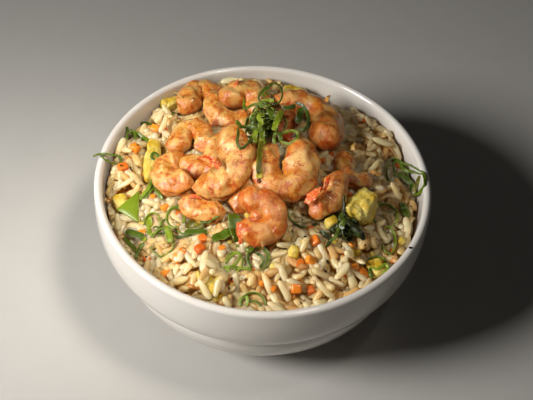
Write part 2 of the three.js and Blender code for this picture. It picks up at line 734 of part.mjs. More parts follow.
// Adds one topping, cut clear of the bowl and of every topping that was placed before it.
function addTopping(name, build, colour, roughness) {
  let solid = build(0);
  const box = solid.boundingBox();
  for (const other of grownToppings) {
    if (boxesMeet(box, other.boundingBox())) solid = solid.subtract(other);
  }
  if (boxesMeet(box, grownBowl.boundingBox())) solid = solid.subtract(grownBowl);
  addMesh(name, geometryOf(largestBody(solid)), colour, roughness);
  grownToppings.push(build(GAP));
}

for (const [name, spec] of Object.entries(SHRIMPS)) {
  addTopping(name, (grow) => solidOf(shrimpGeometry(spec, grow)), COLOURS.shrimp, 0.3);
}
for (const [name, spec] of Object.entries(HEAPS)) {
  addTopping(name, (grow) => heapSolid(spec, grow), COLOURS.onion, 0.4);
}
for (const [name, spec] of Object.entries(EGGS)) {
  addTopping(name, (grow) => solidOf(eggGeometry(spec, grow)), COLOURS.egg, 0.4);
}
for (const [name, spec] of Object.entries(LEAVES)) {
  const colour = name === "pod_piece" ? COLOURS.pod : COLOURS.onion;
  addTopping(name, (grow) => solidOf(leafGeometry(spec, grow)), colour, 0.4);
}
for (const [name, spec] of Object.entries(CURLS)) {
  addTopping(name, (grow) => solidOf(curlGeometry(spec, grow)), COLOURS.onion, 0.4);
}

addMesh("rice", geometryOf(riceSolid(grownToppings, grownBowl)), COLOURS.rice, 0.45);

export default serving;
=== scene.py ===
"""A bowl of fried rice topped with curled shrimps and shredded spring onion.

Lengths are millimetres in the values and metres in Blender. +Z is up, +X is to the right and +Y to the
back, and the origin is under the middle of the bowl's foot. The food that lies on the rice is made
before it, because the grains then settle round what lies on them.
"""

import math

import bpy
import numpy as np
from mathutils import Matrix


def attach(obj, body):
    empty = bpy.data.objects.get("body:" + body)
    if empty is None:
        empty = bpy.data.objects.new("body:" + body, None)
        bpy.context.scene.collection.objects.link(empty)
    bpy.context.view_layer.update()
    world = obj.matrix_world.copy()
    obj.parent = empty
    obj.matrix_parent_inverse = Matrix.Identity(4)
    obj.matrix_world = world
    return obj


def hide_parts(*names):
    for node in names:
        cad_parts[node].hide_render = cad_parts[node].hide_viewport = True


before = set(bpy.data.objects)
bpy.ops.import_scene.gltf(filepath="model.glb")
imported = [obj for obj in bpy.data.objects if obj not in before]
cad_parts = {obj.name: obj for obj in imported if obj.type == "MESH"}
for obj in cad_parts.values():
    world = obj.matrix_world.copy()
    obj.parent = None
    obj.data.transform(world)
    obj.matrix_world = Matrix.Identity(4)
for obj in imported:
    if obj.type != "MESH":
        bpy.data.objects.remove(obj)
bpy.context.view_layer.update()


# ---- Bowl ----------------------------------------------------------------------------------------
# A thick single-serving rice bowl of white porcelain. It is thrown with a raised band under its rim,
# dipped in a clear, slightly warm glaze and fired on its unseen foot ring.

MM = 0.001
RIM_HEIGHT = 74.0
RIM_RADIUS = 83.0
LIP_RADIUS = 2.0
LIP_INSET = 2.4
LIP_ARC = (15, 168)
BOWL_SIDES = 168
POLE_RADIUS = 0.02

# The radius and height of the points that the bowl's outline passes through.
UNDERSIDE = [
    (0, 3.5), (20, 3.5), (39, 3.5), (40.6, 3.1), (41.2, 1.6), (41.5, 0.3), (42.2, 0), (44, 0), (44.7, 0.4),
]
LOWER_SIDE = [
    (45.2, 2), (46.2, 4.4), (54, 7.9), (63.2, 14), (70.7, 23), (74.7, 33), (75.15, 40.5), (75.2, 41.7),
]
RAISED_BAND = [
    (75.7, 42.15), (76.6, 42.75), (77.5, 43.9), (79.9, 47), (82.15, 53), (82.95, 60), (82.95, 66),
    (82.6, 71.4),
]
INSIDE = [
    (78.5, 71), (78.3, 68), (77.8, 60), (75.6, 50), (71, 37), (64, 24), (54.5, 15.4), (42, 10.2),
    (16, 7.6), (0, 7.2),
]
GLAZE_POOL = 35.7
GLAZE_RIPPLE = 6.25
PORCELAIN_WHITE = "#D9D5CF"
PORCELAIN_WARM = "#D3CCC2"


def linear(colour):
    """The linear colour of an sRGB hex value: each channel is scaled to 0-1 and its curve undone."""
    channels = np.array([int(colour[i:i + 2], 16) for i in (1, 3, 5)]) / 255
    curve = np.where(channels <= 0.04045, channels / 12.92, ((channels + 0.055) / 1.055) ** 2.4)
    return (*curve, 1.0)


def feed(tree, node, sockets):
    """Gives each named or numbered input of a node its value, or the output that feeds it."""
    for key, value in sockets.items():
        if isinstance(value, bpy.types.NodeSocket):
            tree.links.new(value, node.inputs[key])
        else:
            node.inputs[key].default_value = value


def add_node(tree, kind, sockets, out=0, **settings):
    """Adds one shader node, with its properties as settings, and returns one of its outputs."""
    node = tree.nodes.new("ShaderNode" + kind)
    for key, value in settings.items():
        setattr(node, key, value)
    feed(tree, node, sockets)
    return node.outputs[out]


def new_material(name, **constants):
    """A material, its tree and its surface shader. The constant sockets of the shader are set by name,
    where an underscore stands for a space."""
    material = bpy.data.materials.new(name)
    material.use_nodes = True
    surface = material.node_tree.nodes["Principled BSDF"]
    feed(material.node_tree, surface, {key.replace("_", " "): value for key, value in constants.items()})
    return material, material.node_tree, surface


def per_size(size):
    """The scale of a noise whose features are about size millimetres across: one over it in metres."""
    return 1 / (size * MM)


def layered(tree, base, *layers):
    """A base colour with tints laid over it in turn. Each layer has its tint, what it follows, the values
    of that at which the tint starts and is full, and its share when full."""
    colour = linear(base)
    for tint, follows, start, full, most in layers:
        share = add_node(tree, "MapRange", {
            "Value": follows, "From Min": start, "From Max": full, "To Max": most})
        colour = add_node(tree, "Mix", {0: share, 6: colour, 7: linear(tint)}, 2, data_type="RGBA")
    return colour


def smooth_curve(points, steps):
    """A curve through the points: between two of them, cubic weights blend the four nearest."""
    points = np.asarray(points, float)
    ends = 2 * points[[0, -1]] - points[[1, -2]]
    padded = np.concatenate([ends[:1], points, ends[1:]])
    p0, p1, p2, p3 = (padded[i:len(points) - 1 + i, None] for i in range(4))
    t = np.linspace(0, 1, steps, endpoint=False)[None, :, None]
    curve = p1 + 0.5 * t * (p2 - p0 + t * (2 * p0 - 5 * p1 + 4 * p2 - p3 + t * (3 * (p1 - p2) + p3 - p0)))
    return np.concatenate([curve.reshape(-1, points.shape[1]), points[-1:]])


def closed_skin(rings):
    """The skin over a stack of rings, an array of rings x points x 3. Quads join neighbouring rings, and
    a fan about its own middle closes each end. The faces point out of the volume."""
    count, sides = rings.shape[:2]
    points = np.concatenate([rings.reshape(-1, 3), rings[[0, -1]].mean(1)])
    here = np.arange(sides)
    after = np.roll(here, -1)
    last = (count - 1) * sides
    lower = np.arange(0, last, sides)[:, None]
    upper = lower + sides
    quads = np.stack([lower + here, lower + after, upper + after, upper + here], -1).reshape(-1, 4)
    first_fan = np.stack([after, here, np.full(sides, count * sides)], -1)
    last_fan = np.stack([last + here, last + after, np.full(sides, count * sides + 1)], -1)
    fans = np.concatenate([first_fan, last_fan])
    a, b, c, d = (points[quads[:, i]] for i in range(4))
    e, f, g = (points[fans[:, i]] for i in range(3))
    volume = (a * (np.cross(b, c) + np.cross(c, d))).sum() + (e * np.cross(f, g)).sum()
    if volume < 0:
        quads, fans = quads[:, ::-1], fans[:, ::-1]
    return points, quads, fans


def joined(skins):
    """Several skins as one: the points follow each other and the faces are numbered on."""
    offsets = np.cumsum([0] + [len(points) for points, _, _ in skins[:-1]])
    points = np.concatenate([points for points, _, _ in skins])
    quads = np.concatenate([quads + offset for (_, quads, _), offset in zip(skins, offsets)])
    fans = np.concatenate([fans + offset for (_, _, fans), offset in zip(skins, offsets)])
    return points, quads, fans


def make_piece(name, skin, material, replaced=(), values=None):
    """Puts a skin into a new mesh, with one attribute for each array of values, gives it its material
    and its slot, and lets it ride on the serving."""
    points, quads, fans = skin
    mesh = bpy.data.meshes.new(name)
    mesh.from_pydata(points * MM, [], [*quads.tolist(), *fans.tolist()])
    mesh.shade_smooth()
    mesh.validate()
    for key, array in (values or {}).items():
        attribute = mesh.attributes.new(key, "FLOAT", "POINT")
        attribute.data.foreach_set("value", np.asarray(array, np.float32).ravel())
    mesh.materials.append(material)
    piece = bpy.data.objects.new(name, mesh)
    bpy.context.scene.collection.objects.link(piece)
    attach(piece, "root")
    if replaced:
        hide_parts(*replaced)


def turned(outline, sides):
    """An outline of radius and height, from axis to axis, turned about +Z. Its first and last points are
    kept a hair off the axis, so that the skin's fans close the poles."""
    angle = 2 * np.pi * np.arange(sides) / sides
    radius = np.maximum(outline[:, :1], POLE_RADIUS)
    height = np.repeat(outline[:, 1:], sides, 1)
    return np.stack([radius * np.cos(angle), radius * np.sin(angle), height], -1)


lip_turn = np.radians(np.linspace(*LIP_ARC, 12))
lip_middle = np.array([RIM_RADIUS - LIP_INSET, RIM_HEIGHT - LIP_RADIUS])
lip = lip_middle + LIP_RADIUS * np.stack([np.cos(lip_turn), np.sin(lip_turn)], -1)
bowl_outline = np.concatenate([
    smooth_curve(UNDERSIDE, 3),
    smooth_curve(LOWER_SIDE, 7),
    smooth_curve(RAISED_BAND, 7),
    lip,
    smooth_curve(INSIDE, 6),
])

# Glazed porcelain: a hard white body under a clear glaze, so it is bright, with sharp soft-edged
# reflections that wander a little where the glaze pooled.
glazed_porcelain, tree, surface = new_material(
    "glazed_porcelain", IOR=1.52, Subsurface_Weight=0.06, Subsurface_Scale=3 * MM)
place = add_node(tree, "TexCoord", {}, "Object")
glaze_tone = add_node(tree, "TexNoise", {"Vector": place, "Scale": per_size(GLAZE_POOL), "Detail": 2.0})
glaze_ripple = add_node(tree, "TexNoise", {"Vector": place, "Scale": per_size(GLAZE_RIPPLE), "Detail": 1.0})
feed(tree, surface, {
    "Base Color": layered(tree, PORCELAIN_WHITE, (PORCELAIN_WARM, glaze_tone, 0, 1, 1)),
    "Roughness": add_node(tree, "MapRange", {"Value": glaze_tone, "To Min": 0.07, "To Max": 0.14}),
    "Normal": add_node(tree, "Bump", {"Height": glaze_ripple, "Strength": 0.08, "Distance": 0.2 * MM}),
})

bowl_skin = closed_skin(turned(bowl_outline, BOWL_SIDES))
make_piece("bowl_porcelain", bowl_skin, glazed_porcelain, ["bowl"])


# ---- Shrimps -------------------------------------------------------------------------------------
# Peeled shrimps, cut along the back and stir-fried, so that each curls up on its belly. Fourteen of
# them lie in a pile: the meat is orange and cream, with red pigment left along the segments.

# Places along the body, from 0 at the head to 1 at the tail.
HEAD_ROUND = 0.12
FAN_START = 0.86
SLIT_OPENS = (0.03, 0.11)
SLIT_CLOSES = (0.84, 0.74)
RING_EVENNESS = 0.65
FEELER = 0.02

# Shares of the body's half thickness, and of the room inside the curl.
HEAD_NOSE = 0.2
BODY_DEPTH = 0.8
FAN_NARROWS = 0.3
FAN_FLATTENS = 0.62
FAN_FRAYS, FAN_TEETH = 0.22, 5
GROOVE_DEPTH = 0.045
SEGMENT_SWELL = 0.06
SLIT_DEPTH = 0.2
SLIT_LIPS = 0.07
INNER_ROOM = 0.92

# How strong the grooves are at the body's sides, how much more so on the back, and at least.
GROOVE_SIDES, GROOVE_BACK, GROOVE_LEAST = 0.35, 0.75, 0.05

# The slit's width, the way it wanders and the distance of its lips, in radians round the body.
SLIT_WIDTH = 0.17
SLIT_WANDERS, SLIT_WAVES = 0.12, 9
LIPS_OFF = 0.42

# The number of segments in a sweep of so many degrees. In shares of a segment: the width of a groove, its
# slant from belly to back, and its drift, by waves round the body and their height.
SEGMENTS, SEGMENTS_SWEEP = 6, 260
GROOVE_WIDTH = 0.09
SEGMENT_SLANT = 0.22
SEGMENT_DRIFT = [(3, 0.09), (5, 0.06)]

# The height of the meat's relief and the length of its waves, and the half thickness below which the
# relief fades.
MEAT_LUMP, LUMP_LENGTH = 0.5, 7.5
MEAT_FIBRE, FIBRE_LENGTH = 0.06, 2.4
MEAT_CREASE, CREASE_LENGTH, CREASE_WIDTH = 0.14, 6.0, 0.16
THIN_MEAT = 5
SHRIMP_SEED = 40
BROKEN_SEED = 70

# The middle of each curl, the tilt of its plane and the compass direction that it leans to, the angle
# at the head end and the sweep to the tail, the curl's radius at head and tail, how much deeper than
# wide it is, the body's half thickness at head and tail, and the tail's lift out of the plane.
SHRIMPS = {
    "shrimp_centre": ((-24, -4, 87), 22, -110, 84, -212, (10.8, 11.6), 1.02, (8.8, 7.4), -1),
    "shrimp_right": ((8.6, -4.6, 86.5), 22, -75, 80, -329, (8.8, 8.1), 1.2, (9.4, 6.6), -2),
    "shrimp_front": ((-2.2, -33.5, 80.5), 28, -90, 140, -300, (10.2, 5.6), 0.9, (6.8, 6.2), 3),
    "shrimp_right_front": ((23, -11, 83), 20, -40, 40, -130, (11.8, 11.4), 1.0, (6.6, 6.2), -1),
    "shrimp_left": ((-37, 14, 79.5), 12, 200, -141, -262, (5.8, 6.8), 1.4, (6.2, 4.8), 1),
    "shrimp_back_mid": ((-12.5, 44.5, 79.5), 5, -90, -170, -244, (6.6, 6.8), 1.15, (7.4, 5.6), 0),
    "shrimp_back_left": ((-35.3, 52.8, 72.8), 8, 110, -117, -282, (6.6, 5.6), 1.5, (7, 5), 0),
    "shrimp_back_right": ((15, 32, 81.5), 12, 30, -45, 172, (15.6, 17), 1.05, (9.4, 5), 0),
    "shrimp_left_low": ((-41, -3.5, 78), 16, 200, -40, -240, (7.8, 6.8), 0.92, (7.4, 6), 0),
    "shrimp_under_back": ((-16, 47, 76.5), 10, -90, -50, -165, (12.5, 12), 0.95, (7, 5), 0),
    "shrimp_far_right": ((45.1, 8.3, 75.5), 15, 0, 125, 220, (6.4, 6.4), 1.3, (5, 4.4), 0),
    "shrimp_under_left": ((-25.5, -17, 79.5), 20, -110, 196, 115, (10.4, 10.4), 1.0, (6, 5.2), 0),
    "shrimp_under_middle": ((-31, 8, 79), 10, -140, 60, -230, (9, 8), 1.1, (8, 6), 0),
    "shrimp_under_centre": ((-27.5, -4, 80), 10, -90, 40, -96, (24.5, 24), 1.0, (7.8, 6.4), 0),
}

# Two bits of meat that broke off and lie inside the curls, in the same terms.
BROKEN_MEAT = {
    "shrimp_back_right_broken_meat": ((14, 30, 79.5), 8, 0, 60, 200, (6, 6), 1.0, (6.6, 5.6), 0),
    "shrimp_front_broken_meat": ((-5.5, -32.6, 81.6), 24, -90, 70, -210, (3.2, 2.8), 1.0, (4.8, 3.8), 0),
}

# How much deeper orange than the others these are fried.
FRIED = {"shrimp_front": 0.4, "shrimp_right_front": 0.2, "shrimp_back_right": 0.22, "shrimp_right": 0.05}
BROKEN_FRIED = 0.5

# The patterns of the meat: the size of their features, their detail, roughness and distortion.
MEAT_PATTERNS = [(7.69, 4, 0.65, 0), (3.846, 5, 0.7, 0), (1.667, 4, 0.65, 1.2), (5.263, 3, 0.6, 0.9)]
SPECK_SPACING = 4.762
SPECKS_DROPPED = 0.72
WET_BEAD = 1.786
MEAT_CREAM = "#DCB169"
MEAT_GOLD = "#CB892D"
MEAT_ORANGE = "#BE5A0E"
PIGMENT_RED = "#A42407"
FRY_SPECK = "#4A1E0C"


def unit(vectors):
    """Vectors scaled to length one."""
    return vectors / np.linalg.norm(vectors, axis=-1, keepdims=True)


def between(first, last, s):
    """The value a share s of the way from first to last."""
    return first + (last - first) * s


def ramp(value, start, full):
    """0 on the near side of start, 1 on the far side of full, and a straight rise between them."""
    return np.clip((value - start) / (full - start), 0, 1)


def bell(value, width):
    """A bell curve about 0: e to the power of minus the square of value over width."""
    return np.exp(-(value / width) ** 2)


def tipped_plane(tilt, lean):
    """The two directions that span a plane tipped by tilt degrees towards the compass direction lean, and
    its upward normal: the three axes turned about the level line across that direction."""
    towards, amount = math.radians(lean), math.radians(tilt)
    hinge = (-math.sin(towards), math.cos(towards), 0)
    return np.array(Matrix.Rotation(amount, 3, hinge)).T


def ripple(points, wavelength, seed, waves=10, strength=0.25):
    """Smooth random relief between about -1 and 1: the sum of sine waves of one wavelength, in
    directions and phases drawn from the seed."""
    draw = np.random.default_rng(seed)
    directions = unit(draw.normal(size=(waves, 3))) * 2 * np.pi / wavelength
    phases = draw.uniform(0, 2 * np.pi, waves)
    return np.sin(points @ directions.T + phases).sum(-1) * strength


def shrimp_meat(spec, seed, steps=170, sides=52):
    """Rings carried along the oval spiral: s runs from head to tail and turn round the body, from the
    belly inside the curl to the back outside it. The radius is the body's thickness, rounded at the head
    and flattened at the tail, less a groove at each segment and a slit down the back, plus lumps."""
    at, tilt, lean, start, sweep, curl, oval, body, lift = spec
    across, along, out = tipped_plane(tilt, lean)

    def middle(s):
        angle = np.radians(start + sweep * s)
        radius = between(curl[0], curl[1], s)
        return (np.array(at) + radius * np.cos(angle) * across
                + oval * radius * np.sin(angle) * along + lift * s * s * out)

    even = np.linspace(0, 1, steps + 1)[:, None]
    s = RING_EVENNESS * even + (1 - RING_EVENNESS) * (0.5 - 0.5 * np.cos(np.pi * even))
    here, before, after = middle(s), middle(s - FEELER), middle(s + FEELER)
    forward = unit(after - before)
    bend = after + before - 2 * here
    bend_length = np.linalg.norm(bend, axis=1, keepdims=True)
    bend_radius = (np.linalg.norm(after - before, axis=1, keepdims=True) / 2) ** 2 / bend_length
    inward = unit(bend - (bend * forward).sum(1, keepdims=True) * forward)
    upward = np.cross(forward, inward)
    upward *= np.sign((upward * out).sum(1, keepdims=True))

    turn = 2 * np.pi * (np.arange(sides) + 0.5)[None, :] / sides
    belly, top = np.cos(turn), np.sin(turn)
    nose = np.maximum(1 - s / HEAD_ROUND, 0)
    head = np.maximum(np.sqrt(1 - nose ** 2), HEAD_NOSE)
    fan = ramp(s, FAN_START, 1)
    half = between(body[0], body[1], s) * head

    draw = np.random.default_rng(seed)
    drift = sum(height * np.sin(waves * turn + draw.uniform(0, 6)) for waves, height in SEGMENT_DRIFT)
    phase = SEGMENTS * abs(sweep) / SEGMENTS_SWEEP * s + SEGMENT_SLANT * belly + drift
    to_edge = np.abs(phase - np.round(phase))
    since_edge = phase - np.floor(phase)
    rounded = SEGMENT_SWELL * np.sin(np.pi * since_edge) - GROOVE_DEPTH * bell(to_edge, GROOVE_WIDTH)
    grooves = 1 + rounded * np.clip(GROOVE_SIDES - GROOVE_BACK * belly, GROOVE_LEAST, 1)
    from_back = np.abs(np.angle(np.exp(1j * (turn - np.pi)))) + 0 * s
    off_slit = from_back - SLIT_WANDERS * np.sin(SLIT_WAVES * s + draw.uniform(0, 6)) * np.sign(top)
    slit = SLIT_LIPS * bell(off_slit - LIPS_OFF, SLIT_WIDTH) - SLIT_DEPTH * bell(off_slit, SLIT_WIDTH)
    opened = 1 + ramp(s, *SLIT_OPENS) * ramp(s, *SLIT_CLOSES) * slit
    ragged = 1 - FAN_FRAYS * fan ** 2 * (0.5 + 0.5 * np.cos(FAN_TEETH * turn + draw.uniform(0, 6)))
    scale = grooves * opened * ragged

    wide = half * (1 - FAN_NARROWS * fan)
    deep = half * BODY_DEPTH * (1 - FAN_FLATTENS * fan)
    room = np.minimum(wide, INNER_ROOM * bend_radius)
    sideways = np.where(belly > 0, room, wide) * belly * scale
    upwards = deep * top * scale
    rings = here[:, None] + sideways[..., None] * inward[:, None] + upwards[..., None] * upward[:, None]
    outward = unit(belly[..., None] * inward[:, None] + top[..., None] * upward[:, None])
    lumps = MEAT_LUMP * ripple(rings, LUMP_LENGTH, seed) + MEAT_FIBRE * ripple(rings, FIBRE_LENGTH, seed + 1)
    lumps = lumps - MEAT_CREASE * bell(ripple(rings, CREASE_LENGTH, seed + 2), CREASE_WIDTH)
    rings = rings + outward * (lumps * np.minimum(half / THIN_MEAT, 1))[..., None]
    values = {
        "segment": np.append(phase.ravel(), [phase[0].mean(), phase[-1].mean()]),
        "belly": np.append((belly + 0 * s).ravel(), [0, 0]),
        "length": np.append((s + 0 * turn).ravel(), [0, 1]),
    }
    return closed_skin(rings), values


# Cooked shrimp meat: wet muscle that lets light in a little way, cream to gold, with orange on the
# back and the ends, red pigment broken up along the segment edges, and a film of oil.
shrimp_flesh, tree, surface = new_material(
    "shrimp_flesh", IOR=1.42, Subsurface_Weight=0.5, Subsurface_Scale=2.6 * MM,
    Subsurface_Radius=(1.0, 0.38, 0.12), Coat_Weight=0.75, Coat_Roughness=0.1, Coat_IOR=1.45)
place = add_node(tree, "TexCoord", {}, "Object")
segment, belly, length, fried = (
    add_node(tree, "Attribute", {}, "Fac", attribute_name=key)
    for key in ("segment", "belly", "length", "fried"))
broad, patches, strands, veins = (
    add_node(tree, "TexNoise", {
        "Vector": place, "Scale": per_size(size), "Detail": detail, "Roughness": rough, "Distortion": bend})
    for size, detail, rough, bend in MEAT_PATTERNS)
specks = add_node(tree, "TexVoronoi", {"Vector": place, "Scale": per_size(SPECK_SPACING)}, "Distance")
beads = add_node(tree, "TexNoise", {"Vector": place, "Scale": per_size(WET_BEAD), "Detail": 2.0})

# How far a point is from the body's ends, from a segment's edge and from a vein.
frayed = add_node(tree, "Math", {0: strands, 1: 0.3, 2: segment}, operation="MULTIPLY_ADD")
to_end, to_edge, to_vein = (
    add_node(tree, "Math", {0: value, 1: 0.5}, operation="PINGPONG") for value in (length, frayed, veins))

# What each share follows, the values of that at which it starts and is full, and the share when full.
shares = {
    "back": (belly, 0.2, -1.0, 0.16),
    "ends": (to_end, 0.12, 0.0, 0.3),
    "browned": (patches, 0.46, 0.66, 0.6),
    "edges": (to_edge, 0.05, 0.0, 0.9),
    "veins": (to_vein, 0.47, 0.494, 0.85),
    "broken": (broad, 0.44, 0.52, 1.0),
    "blots": (patches, 0.66, 0.71, 0.85),
    "specks": (specks, 0.1, 0.06, 0.8),
}
for name, (value, start, full, most) in shares.items():
    shares[name] = add_node(tree, "MapRange", {
        "Value": value, "From Min": start, "From Max": full, "To Max": most})
orange = fried
for name in ("back", "ends", "browned"):
    orange = add_node(tree, "Math", {0: orange, 1: shares[name]}, operation="ADD")
lines = add_node(tree, "Math", {0: shares["edges"], 1: shares["veins"]}, operation="MAXIMUM")
streaks = add_node(tree, "Math", {0: lines, 1: shares["broken"]}, operation="MULTIPLY")
red = add_node(tree, "Math", {0: streaks, 1: shares["blots"]}, operation="MAXIMUM")
chance = add_node(tree, "SeparateColor", {"Color": specks.node.outputs["Color"]})
kept = add_node(tree, "Math", {0: chance, 1: SPECKS_DROPPED}, operation="GREATER_THAN")
burnt = add_node(tree, "Math", {0: shares["specks"], 1: kept}, operation="MULTIPLY")
feed(tree, surface, {
    "Base Color": layered(
        tree, MEAT_CREAM, (MEAT_GOLD, broad, 0.38, 0.6, 1), (MEAT_ORANGE, orange, 0, 1, 1),
        (PIGMENT_RED, red, 0, 1, 1), (FRY_SPECK, burnt, 0, 1, 1)),
    "Roughness": add_node(tree, "MapRange", {
        "Value": strands, "From Min": 0.35, "From Max": 0.65, "To Min": 0.34, "To Max": 0.5}),
    "Normal": add_node(tree, "Bump", {"Height": strands, "Strength": 0.4, "Distance": 0.6 * MM}),
    "Coat Normal": add_node(tree, "Bump", {"Height": beads, "Strength": 0.8, "Distance": 1.2 * MM}),
})

# The points of everything that lies on the rice.
toppings = []


def shrimp_piece(name, spec, seed, fried, replaced=(), **fineness):
    """One shrimp, or a bit of one, with how deeply it is fried."""
    skin, values = shrimp_meat(spec, seed, **fineness)
    values["fried"] = np.full(len(skin[0]), fried)
    make_piece(name, skin, shrimp_flesh, replaced, values)
    toppings.append(skin[0])


for order, (name, spec) in enumerate(SHRIMPS.items()):
    shrimp_piece(name + "_meat", spec, SHRIMP_SEED + order, FRIED.get(name, 0.0), [name])
for order, (name, spec) in enumerate(BROKEN_MEAT.items()):
    shrimp_piece(name, spec, BROKEN_SEED + order, BROKEN_FRIED, steps=80, sides=36)


# ---- Tail fins and frayed ends -------------------------------------------------------------------
# What the cutting left on the shrimps: thin red tail fins that fold over, and frayed flaps of meat where
# a back was slit or a head was pulled off.

FLAP_THICKNESS = 0.8
FLAP_THINS = 0.6
FLAP_FRAY = 0.16
FLAP_TEARS = 0.1
FLAP_BUCKLE = 0.3
FLAP_STEPS = 24
OVAL_SQUARE = 0.7
LEAF_WAVES = 9

# Where on a shrimp the meat of the flaps is like, in the terms of the meat's material.
FLAP_MEAT = {"segment": 0.5, "belly": 0.2, "length": 0.06}
FIN_RIB = 2.083
FIN_RED = "#D2441A"
FIN_PALE = "#EE9A5C"

# Where each fin or flap starts and ends, its width at the start, the middle and the end, the height of
# its arch, its roll, and whether it is a fin.
FLAPS = [
    ((-31.4, -9.0, 93.4), (-20.0, -12.6, 93.2), (1.2, 4.6, 2.2), 2.0, 15, True),
    ((-27.6, -8.2, 94.0), (-21.4, -14.6, 93.4), (0.8, 3.2, 1.4), 1.2, -35, True),
    ((-9.0, -38.6, 82.6), (-8.6, -46.2, 77.6), (3.4, 3.2, 0.8), 0.8, 10, True),
    ((-5.6, -40.2, 81.4), (-5.2, -46.6, 76.8), (3.0, 2.6, 0.7), 0.6, -15, False),
    ((-1.6, -40.8, 81.6), (-2.2, -47.2, 76.8), (2.8, 2.4, 0.8), 0.6, 8, True),
    ((1.2, -42.2, 80.6), (1.6, -48.0, 76.6), (2.4, 2.2, 0.6), 0.6, 20, False),
    ((27.6, -17.0, 87.4), (20.6, -24.8, 84.4), (1.6, 5.4, 3.4), 1.6, -12, True),
    ((31.0, -10.6, 88.0), (28.8, -17.4, 86.0), (1.0, 2.4, 1.2), 0.8, 30, True),
    ((-43.6, 42.6, 82.4), (-48.6, 44.4, 84.4), (2.2, 1.4, 0.5), 0.4, 0, False),
    ((-18.4, 49.0, 84.4), (-16.4, 55.6, 86.0), (2.6, 2.0, 0.8), 0.6, 0, True),
    ((29.0, 45.0, 84.6), (31.4, 49.6, 84.6), (2.6, 1.8, 0.8), 0.6, 0, False),
    ((43.0, 16.4, 79.4), (44.4, 21.6, 79.6), (2.4, 1.8, 0.6), 0.6, 10, False),
    ((52.4, 3.6, 78.4), (57.6, 3.0, 77.0), (2.6, 1.8, 0.6), 0.5, 0, False),
    ((-34.4, -22.4, 81.4), (-28.8, -22.9, 80.5), (1.8, 3.0, 1.6), 0.6, 10, True),
    ((-25.9, -20.7, 85.7), (-23.3, -22.0, 83.9), (0.8, 1.4, 0.7), 0.3, 10, True),
]


def flat_oval(sides):
    """Round a flat squared oval: how far across it each point is, from -1 to 1, which is a power of the
    cosine, and how far through it."""
    turn = 2 * np.pi * np.arange(sides) / sides
    return np.sign(np.cos(turn)) * np.abs(np.cos(turn)) ** OVAL_SQUARE, np.sin(turn)


def arched_line(start, end, arch, roll, steps, wave=0.0):
    """A line from start to end over a low arch with waves: its shares of the way, its points, the
    direction across it, which is rolled about it, and the direction that its face looks in."""
    start, end = np.array(start, float), np.array(end, float)
    s = np.linspace(0, 1, steps + 1)[:, None]
    forward = unit(end - start)
    level = unit(np.cross(forward, (0, 0, 1.0)))
    above = np.cross(level, forward)
    middle = between(start, end, s) + (arch * 4 * s * (1 - s) + wave * np.sin(LEAF_WAVES * s)) * above
    lean = math.radians(roll)
    side = math.cos(lean) * level + math.sin(lean) * above
    return s, middle, side, np.cross(forward, side)


def flap_skin(spec, seed, sides=14):
    """A flap is a thin flat oval carried along an arched line. Its edge is ragged, because its half
    width follows a curve through three widths with quick waves on it, and it buckles and thins out."""
    start, end, widths, arch, roll = spec[:5]
    s, middle, side, face = arched_line(start, end, arch, roll, FLAP_STEPS)
    across, through = flat_oval(sides)
    half_width = 0.5 * np.interp(s[:, 0], (0, 0.5, 1), widths)[:, None]
    ragged = 1 + FLAP_FRAY * np.sin(17 * s + 3 * across + seed) + FLAP_TEARS * np.sin(31 * s + seed)
    through = 0.5 * FLAP_THICKNESS * through * (1 - FLAP_THINS * s)
    through = through + FLAP_BUCKLE * np.sin(5 * across + 9 * s + seed)
    rings = middle[:, None] + (half_width * across * ragged)[..., None] * side + through[..., None] * face
    return closed_skin(rings)


# Fin shell: thin and half clear, deep red at its root and paler and orange where it is worn.
fin_shell, tree, surface = new_material(
    "fin_shell", IOR=1.45, Roughness=0.28, Subsurface_Weight=0.25, Subsurface_Scale=1 * MM,
    Subsurface_Radius=(1.0, 0.3, 0.1), Coat_Weight=0.4, Coat_Roughness=0.15)
place = add_node(tree, "TexCoord", {}, "Object")
fin_ribs = add_node(tree, "TexNoise", {
    "Vector": place, "Scale": per_size(FIN_RIB), "Detail": 4.0, "Distortion": 1.5})
feed(tree, surface, {"Base Color": layered(tree, FIN_RED, (FIN_PALE, fin_ribs, 0.46, 0.62, 1))})

fins = [flap_skin(spec, order) for order, spec in enumerate(FLAPS) if spec[5]]
make_piece("shrimp_fins", joined(fins), fin_shell)
flaps = joined([flap_skin(spec, order) for order, spec in enumerate(FLAPS) if not spec[5]])
flap_values = {key: np.full(len(flaps[0]), value) for key, value in FLAP_MEAT.items()}
make_piece("shrimp_flaps", flaps, shrimp_flesh, (), flap_values)


# ---- Spring onion curls and strips ---------------------------------------------------------------
# Green tops of spring onions, cut into fine rings and split strips that curl as they lose water. Each
# is a band of leaf, thicker at its middle and paler at the cut edges.

